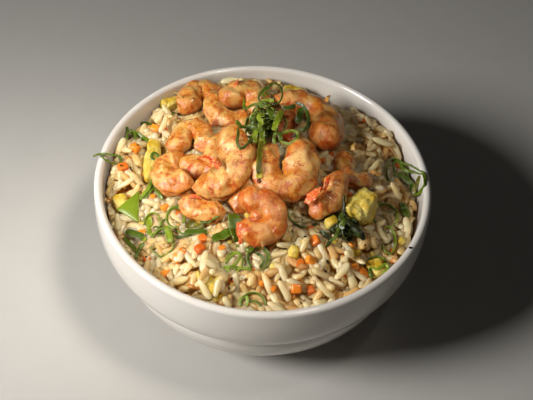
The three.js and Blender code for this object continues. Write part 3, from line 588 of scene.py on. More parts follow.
# The middle of each curl, its plane's tilt and lean, the start and the sweep of the arc, its radius,
# how much deeper than wide it is, the band's width, its twist at both ends, and how pale it is.
CURLS = {
    "onion_ring_left": ((-45.1, -40, 67.3), 10, -120, 160, -325, 5.3, 1.4, 1.6, (10, 10), 0.6),
    "onion_ring_far_left": ((-51.6, -29, 67.2), 15, -120, -173, -321, 3.9, 1.45, 1.5, (0, 10), 0.7),
    "onion_ring_mid_left": ((-40.2, -28.6, 72.6), 12, -100, -33, 331, 4.2, 1.3, 1.6, (60, 40), 0.6),
    "onion_ring_front_mid": ((-11, -50.2, 69.3), 10, -90, -168, -264, 3.8, 1.3, 1.6, (0, 30), 0.8),
    "onion_ring_front": ((0, -48, 70.3), 15, -90, -126, -308, 4.6, 1.25, 2.6, (40, 20), 0.15),
    "onion_ring_rim": ((-1, -69.5, 63), 25, -90, 175, -170, 5.8, 1.0, 1.8, (20, 20), 0.3),
    "onion_ring_right": ((60.1, -14.1, 67), 10, -30, -135, -275, 6.4, 1.08, 1.6, (20, 0), 0.6),
    "onion_loop_right": ((61.8, -27.3, 64.4), 12, -30, 126, -282, 3.4, 2.3, 1.6, (0, 20), 0.6),
    "onion_ring_egg": ((56.2, -44, 63.1), 15, -45, -156, -213, 5.2, 1.24, 1.5, (10, 10), 0.8),
    "onion_loop_back_right": ((67.7, 16.6, 63.8), 20, 0, -145, -230, 6.2, 1.7, 1.6, (0, 20), 0.4),
    "onion_curl_rim": ((-77, 9, 72.2), 36, 0, -150, 190, 6.6, 0.7, 1.4, (20, 20), 0.5),
    "onion_curl_back_left": ((-65.4, 36.2, 63.6), 10, 180, -127, -222, 7, 0.75, 1.8, (10, 30), 0.2),
    "onion_curl_front_right": ((21.8, -20.9, 74.9), 10, -90, 178, 95, 9.4, 1.0, 1.8, (10, 30), 0.5),
}

# Where each leaf starts and ends, its width at the start, the middle and the end, the height of its
# arch, its roll, the height of its waves, its thickness, and how pale it is.
LEAVES = {
    "onion_fold_left": ((-54.9, -36.3, 65.2), (-63.6, -32.5, 63.8), (3.4, 3.6, 3), 0.8, 10, 0.2, 0.8, 0.2),
    "onion_fold_right": ((-64.4, -34.7, 61.9), (-57, -43, 61.9), (2.4, 2.6, 2), 0.5, 30, 0.2, 0.8, 0.3),
    "onion_strip_upright": ((-43.8, -33.2, 70.9), (-41.4, -41.6, 69.4), (3, 3.2, 3), 0.7, 0, 0.2, 0.8, 0.7),
    "onion_strip_level": ((-35.2, -35.4, 69.6), (-24.7, -35.4, 71.2), (3.2, 3.2, 3), 0.9, 0, 0.2, 0.8, 0.1),
    "onion_leaf_front": ((-13.6, -27.8, 76.6), (-9.4, -42, 74), (5, 7.5, 6), 1.2, 12, 0.6, 0.8, 0.1),
    "onion_leaf_low": ((-12.4, -36, 73.5), (-21.6, -40.4, 71.9), (5.5, 6, 4.5), 0.8, -10, 0.5, 0.8, 0.1),
    "onion_strip_side": ((-49.9, -4.1, 71.6), (-57.3, -15.6, 68.6), (2.4, 2.8, 2.4), 1.2, -10, 0.3, 0.8, 0.5),
    "onion_fold_back": ((-53.8, 47.9, 64.9), (-45, 45.1, 67.5), (2.6, 2.8, 2), 1, 20, 0.2, 0.8, 0.2),
    "onion_leaf_right": ((68.9, -3.1, 64.3), (71.7, -11.2, 62.9), (3, 4.5, 3.4), 0.8, 8, 0.4, 0.8, 0.5),
}

# The points that each loose shred passes through, its width, and how pale it is.
SHREDS = [
    ([(-84.4, 4.1, 75.6), (-82.1, 5.3, 76), (-78.4, 6.5, 75.6), (-74.6, 6.9, 74.6),
      (-71.4, 7, 73.4)], 1.1, 0.5),
    ([(-45.7, -31.7, 68.5), (-46.7, -29.1, 68.6), (-45.7, -27.7, 69.1), (-44, -27.5, 69.5)], 0.9, 0.15),
    ([(-50.8, -31.8, 67.4), (-49.4, -31.5, 67.8), (-47.4, -32.3, 68.2), (-45.6, -33.2, 68.4),
      (-44.2, -34.7, 68.5)], 1.1, 0.1),
    ([(-49.7, -35.7, 66.6), (-49.2, -33.6, 67.1), (-47.9, -32.4, 67.6), (-45.9, -32.2, 68.1)], 0.9, 0.55),
    ([(-49.1, -34, 66.8), (-47.3, -35.6, 67), (-45.6, -34.9, 67.5), (-44.3, -34, 68)], 0.8, 0.1),
    ([(-54, -24.5, 67), (-53.3, -26.9, 66.8), (-52.5, -30.3, 66.5)], 3.2, 1),
    ([(-54.4, -28.3, 66.1), (-53, -31.2, 66.1), (-50.9, -35.8, 65.8)], 1.6, 0.75),
    ([(-40.8, -32.1, 69.1), (-38.9, -34.1, 69.2), (-37.1, -35.3, 69.3), (-34.4, -36.2, 69.7)], 1, 0.4),
    ([(-41.2, -35.9, 68.1), (-38.4, -37, 68.4), (-35.3, -37, 69), (-32, -36.3, 69.8)], 1.1, 0.1),
    ([(-28.3, -32, 74.2), (-25.3, -32.3, 75.2), (-23, -31.8, 75.9)], 1.8, 0.2),
    ([(-24.8, -32.8, 74.4), (-23.4, -32.2, 75.8), (-21.7, -32.1, 77.8), (-19.7, -31.5, 79)], 1.1, 0.5),
    ([(-54.4, -38.8, 64.5), (-56, -41.7, 63.4), (-56.9, -44.2, 62.5), (-57.4, -46.2, 61.9)], 1.8, 0.5),
    ([(-56, -35.9, 64.6), (-54.9, -36.6, 64.8), (-53.5, -37.6, 65)], 2.6, 1),
    ([(-14, -51.5, 70.6), (-12.4, -48.2, 71), (-9.7, -46.3, 71.4), (-8.4, -47.8, 71.4),
      (-9, -50.6, 71.2), (-10.6, -52.8, 70.8), (-12.9, -54.3, 70.4)], 1.3, 0.8),
    ([(-16, -53.2, 68.1), (-13.9, -52.6, 68.4), (-11.1, -52.8, 68.5), (-7.8, -53, 68.7),
      (-4.5, -53.1, 68.7), (-2.6, -53.7, 68.6)], 1.5, 0.75),
    ([(-14.8, -52.6, 68.2), (-13.8, -53.8, 67.9), (-12.6, -54.5, 67.8)], 1.5, 0.8),
    ([(-4.5, -53.4, 69.1), (-3.6, -52.3, 69.4), (-3.2, -51.3, 69.7)], 1.4, 0.7),
    ([(-1, -45.9, 70.9), (1, -46.5, 70.7), (2.5, -48.3, 70.2), (2.2, -50.6, 69.7),
      (0.6, -51.9, 69.3)], 1.3, 0.2),
    ([(-6.1, -44.3, 72.2), (-4.8, -45.2, 72), (-3.7, -44.7, 72.1), (-2.3, -44.1, 72.3)], 2, 0.6),
    ([(-3.4, -68.2, 63.7), (-1.4, -67.7, 63.9), (0.7, -68, 63.8), (2.6, -69.7, 63.2)], 1.1, 0.3),
    ([(-6.5, -70.3, 63.1), (-6.8, -67.9, 64), (-5.4, -66.1, 64.6), (-3.8, -66.6, 64.5),
      (-3.7, -70.2, 63.2)], 1.7, 0.85),
    ([(-10.9, -42.6, 71.4), (-9.8, -42.7, 71.5)], 1, 0.9),
    ([(52.4, -46.7, 67.6), (54.7, -47.9, 68), (56.7, -47.1, 68.2), (58.9, -45.1, 68.2),
      (60.2, -46.3, 68), (59.6, -48.3, 67.6), (58, -49.3, 67)], 1.5, 0.9),
    ([(52.6, -46.5, 67.4), (52, -48.5, 67), (52.4, -50.7, 66.6), (53.6, -51.4, 66.2)], 1.5, 0.2),
    ([(66.1, 25.7, 63.9), (66.1, 19.5, 64.4), (67.2, 15.4, 64.3), (70.1, 12.2, 63.4),
      (73.6, 10.6, 62.1)], 1, 0.2),
    ([(69.4, 24.6, 64), (71.2, 19.6, 64.5), (74.4, 17.3, 66), (77.2, 12.1, 70.4),
      (79, 7.9, 74.7)], 1.8, 0.4),
    ([(66.2, 26.4, 63.4), (70, 23.9, 65), (73.7, 20.5, 67), (76.3, 15.8, 70), (79.2, 8.6, 74.8)], 1.2, 0.45),
    ([(79, 8.2, 74.7), (79.4, 4, 74.7), (78.9, 0.4, 73.4), (77.4, 0.8, 68.4), (75.6, 3.4, 63.6)], 2, 0.4),
    ([(68.5, 17.9, 63.6), (71.8, 14.3, 64), (74.8, 10.1, 64), (75.2, 5.2, 63.4)], 2.6, 0.1),
    ([(-71.8, 30.5, 71.1), (-71.1, 29.5, 69.4), (-71.2, 26, 70), (-70.2, 21.5, 71.4)], 1.6, 0.3),
    ([(-72.2, 29.3, 69), (-68.7, 30.2, 68), (-65, 28.7, 67), (-61.1, 25.6, 67.4),
      (-57.7, 23.8, 67.8)], 2.4, 0.5),
    ([(-69.6, 30.6, 67.4), (-67.1, 27.3, 68), (-66.4, 22.9, 70.8)], 1.8, 0.5),
    ([(-54.5, 5.6, 74.4), (-56, 7.3, 74.8), (-55.2, 9.6, 75.2), (-53.2, 8.5, 75),
      (-52.2, 7.1, 74.8)], 1.6, 0.2),
    ([(-58.4, -16.8, 69.6), (-57.9, -14.6, 70.2), (-55.5, -10.6, 71.4), (-54.3, -7, 72.4),
      (-52.8, -5.3, 73)], 2, 0.7),
    ([(-51.7, -11.2, 72.4), (-50.2, -13.9, 72), (-47.9, -16.9, 71.4)], 2, 0.6),
]
FADED_SHREDS = [
    ([(-35.5, -31, 70.5), (-31.3, -31.2, 71.2), (-26.3, -32.8, 73.4)], 3.8, 0.45),
    # The tip of the strip that hangs from the pile: its paleness is partly painted light, where the strip
    # comes out of shade.
    ([(-2.6, -9.6, 91.4), (-2.3, -12.2, 89.9), (-1.9, -14.6, 88.2)], 3.2, 1.3),
    ([(77.7, 9.1, 71.7), (76.9, 8, 67.8), (75.9, 6.3, 65), (75.2, 3.6, 63)], 2.4, 0.5),
]

# The pod's corners, how far along its outer side the middle one is, and the stretch that is made.
POD_CORNERS = np.array([(-59.8, -10.8, 69.6), (-69.7, -22.1, 66.9), (-58, -29.4, 67.7)])
POD_KNEE = 0.62
POD_SPAN = (0.02, 0.98)
POD_BULGE = 1.2
POD_THICKNESS = 0.9
POD_CUPPING = 0.12
POD_PALE = 0.9
ONION_THICKNESS = 0.8
CURL_CUPPING = 0.08
LEAF_CUPPING = 0.15
RIBBON_FACE = (0.0, -0.5, 0.87)
RIBBON_ROCK = 0.5
RIBBON_THICKNESS = 0.6
RIBBON_CUPPING = 0.12
CRINKLE, CRINKLE_LENGTH = 0.16, 3.0

# How much narrower a curl, a leaf and a ribbon are at their ends, and how suddenly.
CURL_END, LEAF_END, RIBBON_END = (0.35, 8), (0.3, 10), (0.45, 8)
CURL_SEED = 100
LEAF_SEED = 131
SHRED_SEED = 230
FADED_SEED = 280
LEAF_STREAK = 2.381
LEAF_RIBS = 7.0
ONION_DEEP = "#2E3C08"
ONION_MID = "#61720F"
ONION_PALE = "#98A42C"
ONION_CUT = "#C2C872"
FRESH_DEEP = "#40560A"
FRESH_MID = "#758C16"
FADED_DEEP = "#3C3606"
FADED_MID = "#86801A"
FADED_PALE = "#BCAE34"
POD_GREEN = "#75881C"


def narrowed(s, end):
    """The share of its width that a band keeps: it loses a share towards both ends by a high power of
    the distance from its middle."""
    return 1 - end[0] * (2 * s[:, 0] - 1) ** end[1]


def edge_values(across, half_width):
    """How near each point of a band is to its edges, from 0 to 1, and a half for both fan middles."""
    return np.append((np.abs(across) + 0 * half_width).ravel(), [0.5, 0.5])


def strip_skin(middle, side, half_width, thickness, cupping, seed, sides=14):
    """A band along a line of middles: each ring is a flat oval of the half width and thickness, spread
    along side and bent down at its edges by the cupping, and the whole is crinkled a little."""
    forward = unit(np.gradient(middle, axis=0))
    side = unit(side - (side * forward).sum(1, keepdims=True) * forward)
    face = np.cross(forward, side)
    across, through = flat_oval(sides)
    half_width = half_width[:, None]
    through = 0.5 * thickness * through - cupping * half_width * across ** 2
    rings = middle[:, None] + (half_width * across)[..., None] * side[:, None]
    rings = rings + through[..., None] * face[:, None]
    rings = rings + CRINKLE * ripple(middle, CRINKLE_LENGTH, seed)[:, None, None] * face[:, None]
    return closed_skin(rings), edge_values(across, half_width)


def curl_skin(spec, seed, steps=64):
    """A curl's band follows the oval arc: its middle is the arc's, and its width stands across the
    arc's plane, turned about the arc by the twist."""
    at, tilt, lean, start, sweep, radius, oval, width, twist, pale = spec
    across, along, out = tipped_plane(tilt, lean)
    s = np.linspace(0, 1, steps + 1)[:, None]
    angle = np.radians(start + sweep * s)
    radial = np.cos(angle) * across + np.sin(angle) * along
    middle = np.array(at) + radius * (np.cos(angle) * across + oval * np.sin(angle) * along)
    turn = np.radians(between(twist[0], twist[1], s))
    side = np.cos(turn) * out + np.sin(turn) * radial
    half_width = 0.5 * width * narrowed(s, CURL_END)
    return *strip_skin(middle, side, half_width, ONION_THICKNESS, CURL_CUPPING, seed), pale


def leaf_skin(spec, seed, steps=36):
    """A leaf's band follows an arched line with waves, as wide as a curve through its three widths."""
    start, end, widths, arch, roll, wave, thickness, pale = spec
    s, middle, side, face = arched_line(start, end, arch, roll, steps, wave)
    half_width = 0.5 * np.interp(s[:, 0], (0, 0.5, 1), widths) * narrowed(s, LEAF_END)
    return *strip_skin(middle, side, half_width, thickness, LEAF_CUPPING, seed), pale


def ribbon_skin(points, width, pale, seed):
    """A ribbon follows a smooth curve through its points. Its face looks up and a little to the front,
    rocked about the curve by a slow wave, and it narrows at both ends."""
    middle = smooth_curve(points, 7)
    forward = unit(np.gradient(middle, axis=0))
    s = np.linspace(0, 1, len(middle))[:, None]
    rock = RIBBON_ROCK * np.sin(6 * s + seed)
    level = unit(np.cross(forward, RIBBON_FACE))
    side = np.cos(rock) * level + np.sin(rock) * np.cross(level, forward)
    half_width = 0.5 * width * narrowed(s, RIBBON_END)
    return *strip_skin(middle, side, half_width, RIBBON_THICKNESS, RIBBON_CUPPING, seed, 12), pale


def pod_plate(rows=30, sides=16):
    """The three-cornered end of a pod: one side runs straight from the first corner to the last, and the
    other goes round by the corner between them. It bulges up at its middle."""
    top_corner, side_corner, low_corner = POD_CORNERS
    s = np.linspace(*POD_SPAN, rows)[:, None]
    straight = between(top_corner, low_corner, s)
    bent = np.where(s < POD_KNEE, between(top_corner, side_corner, s / POD_KNEE),
                    between(side_corner, low_corner, (s - POD_KNEE) / (1 - POD_KNEE)))
    middle = 0.5 * (straight + bent)
    middle[:, 2] += POD_BULGE * np.sin(np.pi * s[:, 0])
    reach = straight - bent
    half_width = 0.5 * np.linalg.norm(reach, axis=1)[:, None]
    across, through = flat_oval(sides)
    rings = middle[:, None] + 0.5 * across[None, :, None] * reach[:, None]
    rings[..., 2] += 0.5 * POD_THICKNESS * through - POD_CUPPING * half_width * across ** 2
    return closed_skin(rings), edge_values(across, half_width), POD_PALE


def green_piece(name, strips, material, replaced=()):
    """One piece of strips, each a skin, its edge values and how pale it is."""
    skins, edges, pales = zip(*strips)
    skin = joined(skins)
    pale = np.repeat(pales, [len(edge) for edge in edges])
    make_piece(name, skin, material, replaced, {"edge": np.concatenate(edges), "pale": pale})
    toppings.append(skin[0])


def leaf_material(name, deep, mid, pale, cut):
    """Leaf: dark to bright green in fine lengthwise streaks, paler where it is thin at the cut edges,
    with a waxy sheen and light coming through it."""
    material, tree, surface = new_material(
        name, IOR=1.42, Roughness=0.34, Subsurface_Weight=0.1, Subsurface_Scale=0.8 * MM,
        Subsurface_Radius=(0.8, 1.0, 0.2), Coat_Weight=0.25, Coat_Roughness=0.2)
    place = add_node(tree, "TexCoord", {}, "Object")
    edge, paleness = (
        add_node(tree, "Attribute", {}, "Fac", attribute_name=key) for key in ("edge", "pale"))
    streaks = add_node(tree, "TexNoise", {
        "Vector": place, "Scale": per_size(LEAF_STREAK), "Detail": 3.0, "Distortion": 0.8})
    rib_place = add_node(tree, "CombineXYZ", {0: edge, 1: paleness})
    ribs = add_node(tree, "TexNoise", {"Vector": rib_place, "Scale": LEAF_RIBS, "Detail": 2.0})
    fibre = add_node(tree, "Math", {0: streaks, 1: ribs}, operation="ADD")
    shade = add_node(tree, "MapRange", {
        "Value": fibre, "From Min": 0.75, "From Max": 1.25, "To Min": -0.4, "To Max": 0.3})
    light = add_node(tree, "Math", {0: paleness, 1: shade}, operation="ADD", use_clamp=True)
    feed(tree, surface, {
        "Base Color": layered(
            tree, deep, (mid, light, 0, 1, 1), (pale, light, 0.55, 1.1, 0.8), (cut, edge, 0.86, 1, 0.25)),
        "Normal": add_node(tree, "Bump", {"Height": fibre, "Strength": 0.5, "Distance": 0.4 * MM}),
    })
    return material


onion_leaf = leaf_material("spring_onion_leaf", ONION_DEEP, ONION_MID, ONION_PALE, ONION_CUT)
fresh_leaf = leaf_material("fresh_onion_leaf", FRESH_DEEP, FRESH_MID, ONION_PALE, ONION_CUT)
faded_leaf = leaf_material("faded_onion_leaf", FADED_DEEP, FADED_MID, FADED_PALE, FADED_PALE)
pod_skin = leaf_material("pea_pod", ONION_MID, POD_GREEN, POD_GREEN, ONION_PALE)

for order, (name, spec) in enumerate(CURLS.items()):
    green_piece(name + "_leaf", [curl_skin(spec, CURL_SEED + order)], fresh_leaf, [name])
green_piece("pod_piece_leaf", [pod_plate()], pod_skin, ["pod_piece"])
for order, (name, spec) in enumerate(LEAVES.items()):
    green_piece(name + "_leaf", [leaf_skin(spec, LEAF_SEED + order)], fresh_leaf, [name])
shreds = [ribbon_skin(*spec, SHRED_SEED + order) for order, spec in enumerate(SHREDS)]
green_piece("onion_loose_shreds", shreds, fresh_leaf)
shreds = [ribbon_skin(*spec, FADED_SEED + order) for order, spec in enumerate(FADED_SHREDS)]
green_piece("onion_faded_shreds", shreds, faded_leaf)


# ---- Pile of spring onion shreds and the herbs ---------------------------------------------------
# A pinch of split spring onion set on top of the shrimps, where the strips tangle and stand off each
# other, and a bunch of wilted dark herb leaves on the rice beside them.

# The middle and the half sizes of both heaps.
PILE = ((-1.5, 23.5, 88), (6.5, 11.0, 6))
HERBS = ((39.5, -27.5, 72), (9, 4.6, 2.8))

# The number of bits in each tangle, the ranges of their radius, width, paleness and sweep, and its seed.
PILE_FINE = (120, (1.4, 3.4), (0.6, 1.1), (0.0, 0.8), (90, 250), 18)
PILE_BROAD = (30, (3.5, 7), (1.2, 2.2), (0.0, 0.6), (50, 120), 21)
HERB_BITS = (34, (1.8, 4.0), (1.4, 3.4), (0.0, 0.35), (90, 250), 19)

# Ranges from which the bits' place, plane, shape and twist are drawn.
TANGLE_REACH = (0.45, 1.0)
TANGLE_TILT = (5, 65)
TANGLE_OVAL = (0.7, 1.5)
TANGLE_TWIST = (-30, 60)
TANGLE_INSET = (0.8, 0.8, 0.9)
TANGLE_FLOOR = 0.4
HANGING_SEED = 159
PILE_SEED = 160
HERB_LEAF_SEED = 180
HERB_SEED = 190
HERB_DEEP = "#1B2206"
HERB_MID = "#4E5F18"
HERB_PALE = "#7E8E34"

# The points that each strip of the pile passes through, its width, and how pale it is.
PILE_RIBBONS = [
    ([(1.1, 30.5, 93), (4.1, 30.9, 94), (5.9, 32.9, 95), (6.3, 36.5, 96), (5, 40.2, 97), (2.3, 40.9, 98),
      (-0.6, 39.2, 97.6), (-3.6, 36.4, 97), (-5.1, 33.7, 96), (-4.8, 31.4, 95),
      (-1.4, 30.8, 94)], 1.1, 0.45),
    ([(0.1, 38.9, 97), (-2.2, 36.8, 96.4), (-3.5, 34.5, 96), (-2.2, 33.6, 96),
      (0.3, 36.5, 96.4)], 1.2, 0.6),
    ([(-12.3, 33.6, 93), (-12.1, 28.7, 92.6), (-11, 27.4, 92.6), (-8.6, 29.1, 93), (-5.9, 30.1, 93.6),
      (-3.2, 30.3, 94)], 1.5, 0.65),
    ([(-15.3, 20.1, 91), (-13.2, 16.3, 91.6), (-10.5, 14.4, 92.6), (-7.5, 15.5, 93.6), (-6, 18, 94.4),
      (-5.4, 21.8, 95)], 2.2, 0.4),
    ([(-10.5, 12.4, 94.4), (-13.4, 8.3, 97.6), (-13.5, 2.7, 98.5), (-13.6, -1.2, 97.7), (-12, -3.6, 96.6),
      (-9.6, -2, 96.6), (-7.8, 1.6, 96), (-7.1, 7.6, 94)], 1.3, 0.5),
    ([(-10, 10.8, 94), (-9.9, 6.2, 95.7), (-8.7, 6, 94.6), (-7.1, 7.5, 93.4)], 1.1, 0.5),
    ([(7.4, 9.8, 94), (10.3, 11.7, 94.4), (13.4, 12.2, 94.4), (15.1, 10.3, 94), (14.3, 5.6, 95.6),
      (11.6, 3.9, 94.1), (8.9, 5.2, 93), (6.2, 6.5, 93.4)], 1.4, 0.75),
    ([(13.3, 32.9, 93.6), (16.7, 31.2, 93.8), (19.1, 27.3, 93.4), (20.1, 22.6, 92.8), (19.4, 18.4, 92),
      (17.6, 16, 91.4), (15.1, 16.7, 91.4)], 1.8, 0.1),
    ([(16.3, 30.4, 92.6), (15.6, 25.5, 92), (15, 20.6, 91.4)], 3.6, 0),
    ([(7.1, 28, 93.6), (10.1, 28.6, 94), (13.4, 30.2, 94)], 2.4, 0.1),
    ([(6.9, 22.9, 97), (5.2, 17.4, 97.4), (4.2, 13.2, 97.2), (3.3, 9.6, 96.4)], 3.2, 0.85),
    ([(0.3, 23.3, 97), (2, 19.8, 97.2), (3.4, 16.2, 97)], 3.4, 0.3),
    ([(-3.1, 21.1, 96.4), (-4.3, 17.4, 96.6), (-2.8, 14.3, 96.4), (-4.3, 11.7, 96)], 2.4, 1),
    ([(-4.9, 10.2, 95), (-5.6, 7, 94.4), (-5.1, 3.3, 93.4)], 2.6, 0.9),
    ([(-1.7, 10.5, 95), (-2, 6.6, 94.2), (-1.1, 2.7, 93)], 2.8, 0.7),
    ([(4.3, 9.7, 95), (3.7, 6.8, 94), (4.1, 3.8, 93)], 1.8, 0.7),
    ([(5.6, 9.8, 95), (6.7, 7.5, 94.6), (6.8, 5.7, 94)], 2.4, 0.5),
    ([(-4.8, 28.4, 95), (-2.9, 29.9, 95.6), (-0.1, 31, 95.8), (2.7, 30.7, 95.6)], 2, 1),
    ([(-6, 23.9, 94.4), (-5.1, 26.6, 95.2), (-2, 26.8, 95.8), (1, 28.1, 95.8)], 2, 0.6),
    ([(-10.1, 12.7, 93), (-7.4, 12.5, 94), (-4.6, 10.3, 95), (-1.9, 11, 96)], 3.2, 0.35),
    ([(-8.4, 19.1, 94), (-6.4, 19.5, 94.8), (-5.5, 21.1, 95.2)], 1.5, 0.5),
]
# The strip that hangs from the pile over the shrimps, in the terms of the leaves. Its low paleness is painted
# shade, as most of it lies in shadow.
HANGING_STRIP = ((-2.2, 17, 90.8), (-2.6, -13.4, 90.6), (2.2, 2.6, 2.9), 3, 0, 0.3, 0.9, 0.35)
HERB_RIBBONS = [
    ([(25.8, -24.9, 73.2), (29.4, -23.3, 72.9), (33.7, -20.9, 72.4)], 2.7, 0.45),
    ([(24.3, -27.8, 72.7), (26.9, -27, 72.4)], 1.3, 0.5),
    ([(28.4, -30.5, 72), (30.8, -32.1, 71.4), (33.2, -34, 70.7)], 1.9, 0.5),
    ([(30.8, -41.1, 73), (32.7, -38.3, 74), (35.2, -35.8, 75), (36.6, -32, 75.6),
      (37.1, -27.9, 76.4)], 1.8, 0.6),
    ([(38.8, -24.1, 79), (37.4, -27.2, 78.4), (38.9, -29.3, 78.2), (37.7, -31.2, 77.6),
      (39, -32.9, 77)], 2.6, 0.6),
    ([(40.1, -27.8, 78), (42.3, -30.3, 77), (45.1, -33.1, 75.5), (47.6, -34.4, 74.5)], 2, 0.2),
    ([(38.3, -17.7, 84), (38.5, -20.7, 82), (38.6, -23.4, 80), (39.1, -26.4, 79)], 1.1, 0.05),
]
HERB_LEAVES = [
    ((30, -20.5, 75.2), (40, -26.5, 74.6), (4, 6, 3.5), 1, 12, 0.5, 0.9, 0.1),
    ((37, -25, 74.4), (49, -33, 70.6), (3.5, 5.5, 3), 1.2, -10, 0.6, 0.9, 0.1),
    ((33, -31, 73.6), (42, -24, 74.6), (2.5, 4, 3), 1.2, 10, 0.5, 0.9, 0.2),
]


def tangle(heap, count, radius, width, pale, sweep, seed):
    """Short curls whose middles lie inside an oval heap, each drawn with its own plane, arc, radius,
    width and twist."""
    at, half = np.array(heap[0]), np.array(heap[1])
    draw = np.random.default_rng(seed)
    strips = []
    for order in range(count):
        direction = unit(draw.normal(size=3))
        middle = at + half * direction * draw.uniform(*TANGLE_REACH) * TANGLE_INSET
        curl = draw.uniform(*radius)
        middle[2] = max(middle[2], at[2] - TANGLE_FLOOR * half[2])
        spec = (middle, draw.uniform(*TANGLE_TILT), draw.uniform(0, 360), draw.uniform(0, 360),
                draw.uniform(*sweep), curl, draw.uniform(*TANGLE_OVAL), draw.uniform(*width),
                draw.uniform(*TANGLE_TWIST, 2), draw.uniform(*pale))
        strips.append(curl_skin(spec, seed * 100 + order, steps=36))
    return strips


pile = [ribbon_skin(*spec, PILE_SEED + order) for order, spec in enumerate(PILE_RIBBONS)]
pile += tangle(PILE, *PILE_FINE) + tangle(PILE, *PILE_BROAD)
green_piece("onion_pile_shreds", pile, onion_leaf, ["onion_pile"])
green_piece("onion_hanging_strip", [leaf_skin(HANGING_STRIP, HANGING_SEED)], faded_leaf)

herbs = [leaf_skin(spec, HERB_LEAF_SEED + order) for order, spec in enumerate(HERB_LEAVES)]
herbs += [ribbon_skin(*spec, HERB_SEED + order) for order, spec in enumerate(HERB_RIBBONS)]
herbs += tangle(HERBS, *HERB_BITS)
herb_leaf = leaf_material("wilted_herb_leaf", HERB_DEEP, HERB_MID, HERB_PALE, HERB_PALE)
green_piece("herb_cluster_leaves", herbs, herb_leaf, ["herb_cluster"])


# ---- Scrambled egg -------------------------------------------------------------------------------
# Egg that was scrambled in the wok before the rice went in: soft folded curds, pale to deep yellow.

# The middle of each curd, its half sizes, its turn and its slope.
EGGS = {
    "egg_left_long": ((-56, 8.5, 70.6), (3.9, 14, 3.2), 3, 2),
    "egg_left_low": ((-68.6, -16.3, 65), (3.4, 5, 3), 20, 0),
    "egg_back_left": ((-50.8, 55.4, 66.4), (6.6, 3.6, 3), 40, 10),
    "egg_right": ((48, -15, 73.4), (6.2, 9.2, 5.4), -30, -6),
    "egg_right_small": ((33.4, -27.2, 74.6), (3.4, 2.6, 2.4), 30, 0),
    "egg_right_low": ((55.3, -44.9, 64.7), (3.6, 4.2, 2.8), 30, 0),
    "egg_front_left": ((-20, -62.6, 67.2), (4.4, 5.6, 3), -30, -12),
    "egg_back": ((13.5, 67.5, 66.5), (6, 3.6, 4.4), -10, 0),
}

# The height of a curd's relief and the length of its waves.
CURD_LUMP, CURD_LUMP_LENGTH = 0.9, 14.0
CURD_FOLD, CURD_FOLD_LENGTH, CURD_FOLD_SHARP, CURD_FOLD_MIDDLE = 0.7, 12.0, 0.6, 0.6
CURD_KNOB, CURD_KNOB_LENGTH = 0.25, 4.0
CURD_GRAIN, CURD_GRAIN_LENGTH = 0.2, 1.8
CURD_SQUARE = 0.55
EGG_SEED = 200
EGG_PATCH = 5.263
EGG_GRAIN = 1.111
EGG_CREAM = "#D8C66E"
EGG_YELLOW = "#CAA82C"
EGG_DEEP = "#B5801E"


def ball(half, rows, sides, pole=0.03):
    """Rings of a ball of three half sizes, from its lowest to its highest point: sin and cos of the
    latitude give each ring's radius and height. The poles are left to the skin's fans."""
    latitude = np.linspace(pole, np.pi - pole, rows)[:, None]
    turn = 2 * np.pi * np.arange(sides)[None, :] / sides
    radius = np.sin(latitude)
    height = -np.cos(latitude) + 0 * turn
    return np.stack([radius * np.cos(turn), radius * np.sin(turn), height], -1) * np.array(half, float)


def squared(rings, power):
    """Rings whose coordinates keep their signs and are raised to a power: a low one squares a ball off."""
    return np.sign(rings) * np.abs(rings) ** power


def curd_skin(spec, seed, rows=44, sides=60):
    """A curd is a squared ball pushed in and out along its own normals by broad lumps, by folds, which
    are the creases where a wave crosses zero, and by fine grain."""
    at, half, turn, slope = spec
    rings = squared(ball((1, 1, 1), rows, sides), CURD_SQUARE) * np.array(half, float)
    outward = unit(rings / np.array(half, float) ** 2)
    folds = np.abs(ripple(rings, CURD_FOLD_LENGTH, seed)) ** CURD_FOLD_SHARP
    lumps = CURD_LUMP * ripple(rings, CURD_LUMP_LENGTH, seed + 1) + CURD_FOLD * (folds - CURD_FOLD_MIDDLE)
    lumps = lumps + CURD_KNOB * ripple(rings, CURD_KNOB_LENGTH, seed + 3)
    lumps = lumps + CURD_GRAIN * ripple(rings, CURD_GRAIN_LENGTH, seed + 2)
    rings = rings + outward * (lumps * min(half) / 4)[..., None]
    spin = Matrix.Rotation(math.radians(turn), 3, "Z") @ Matrix.Rotation(math.radians(slope), 3, "Y")
    return closed_skin(rings @ np.array(spin).T + np.array(at, float))


# Set egg: soft and moist, so light passes into it, matt with small wet patches, deeper where browned.
scrambled_egg, tree, surface = new_material(
    "scrambled_egg", IOR=1.42, Subsurface_Weight=0.4, Subsurface_Scale=2 * MM,
    Subsurface_Radius=(1.0, 0.75, 0.2))
place = add_node(tree, "TexCoord", {}, "Object")
egg_tone = add_node(tree, "TexNoise", {"Vector": place, "Scale": per_size(EGG_PATCH), "Detail": 3.0})
egg_grain = add_node(tree, "TexNoise", {"Vector": place, "Scale": per_size(EGG_GRAIN), "Detail": 2.0})
feed(tree, surface, {
    "Base Color": layered(
        tree, EGG_CREAM, (EGG_YELLOW, egg_tone, 0.35, 0.62, 1), (EGG_DEEP, egg_tone, 0.62, 0.75, 0.6)),
    "Roughness": add_node(tree, "MapRange", {
        "Value": egg_grain, "From Min": 0.35, "From Max": 0.65, "To Min": 0.3, "To Max": 0.55}),
    "Normal": add_node(tree, "Bump", {"Height": egg_grain, "Strength": 0.7, "Distance": 0.5 * MM}),
})

for order, (name, spec) in enumerate(EGGS.items()):
    skin = curd_skin(spec, EGG_SEED + 3 * order)
    make_piece(name + "_curd", skin, scrambled_egg, [name])
    toppings.append(skin[0])


# ---- Fried rice ----------------------------------------------------------------------------------
# Long-grain rice, fried with soy and oil, heaped in the bowl with diced carrot, crumbs of egg and burnt
# specks. The grains lie on a bed of more rice that the eye never reaches.

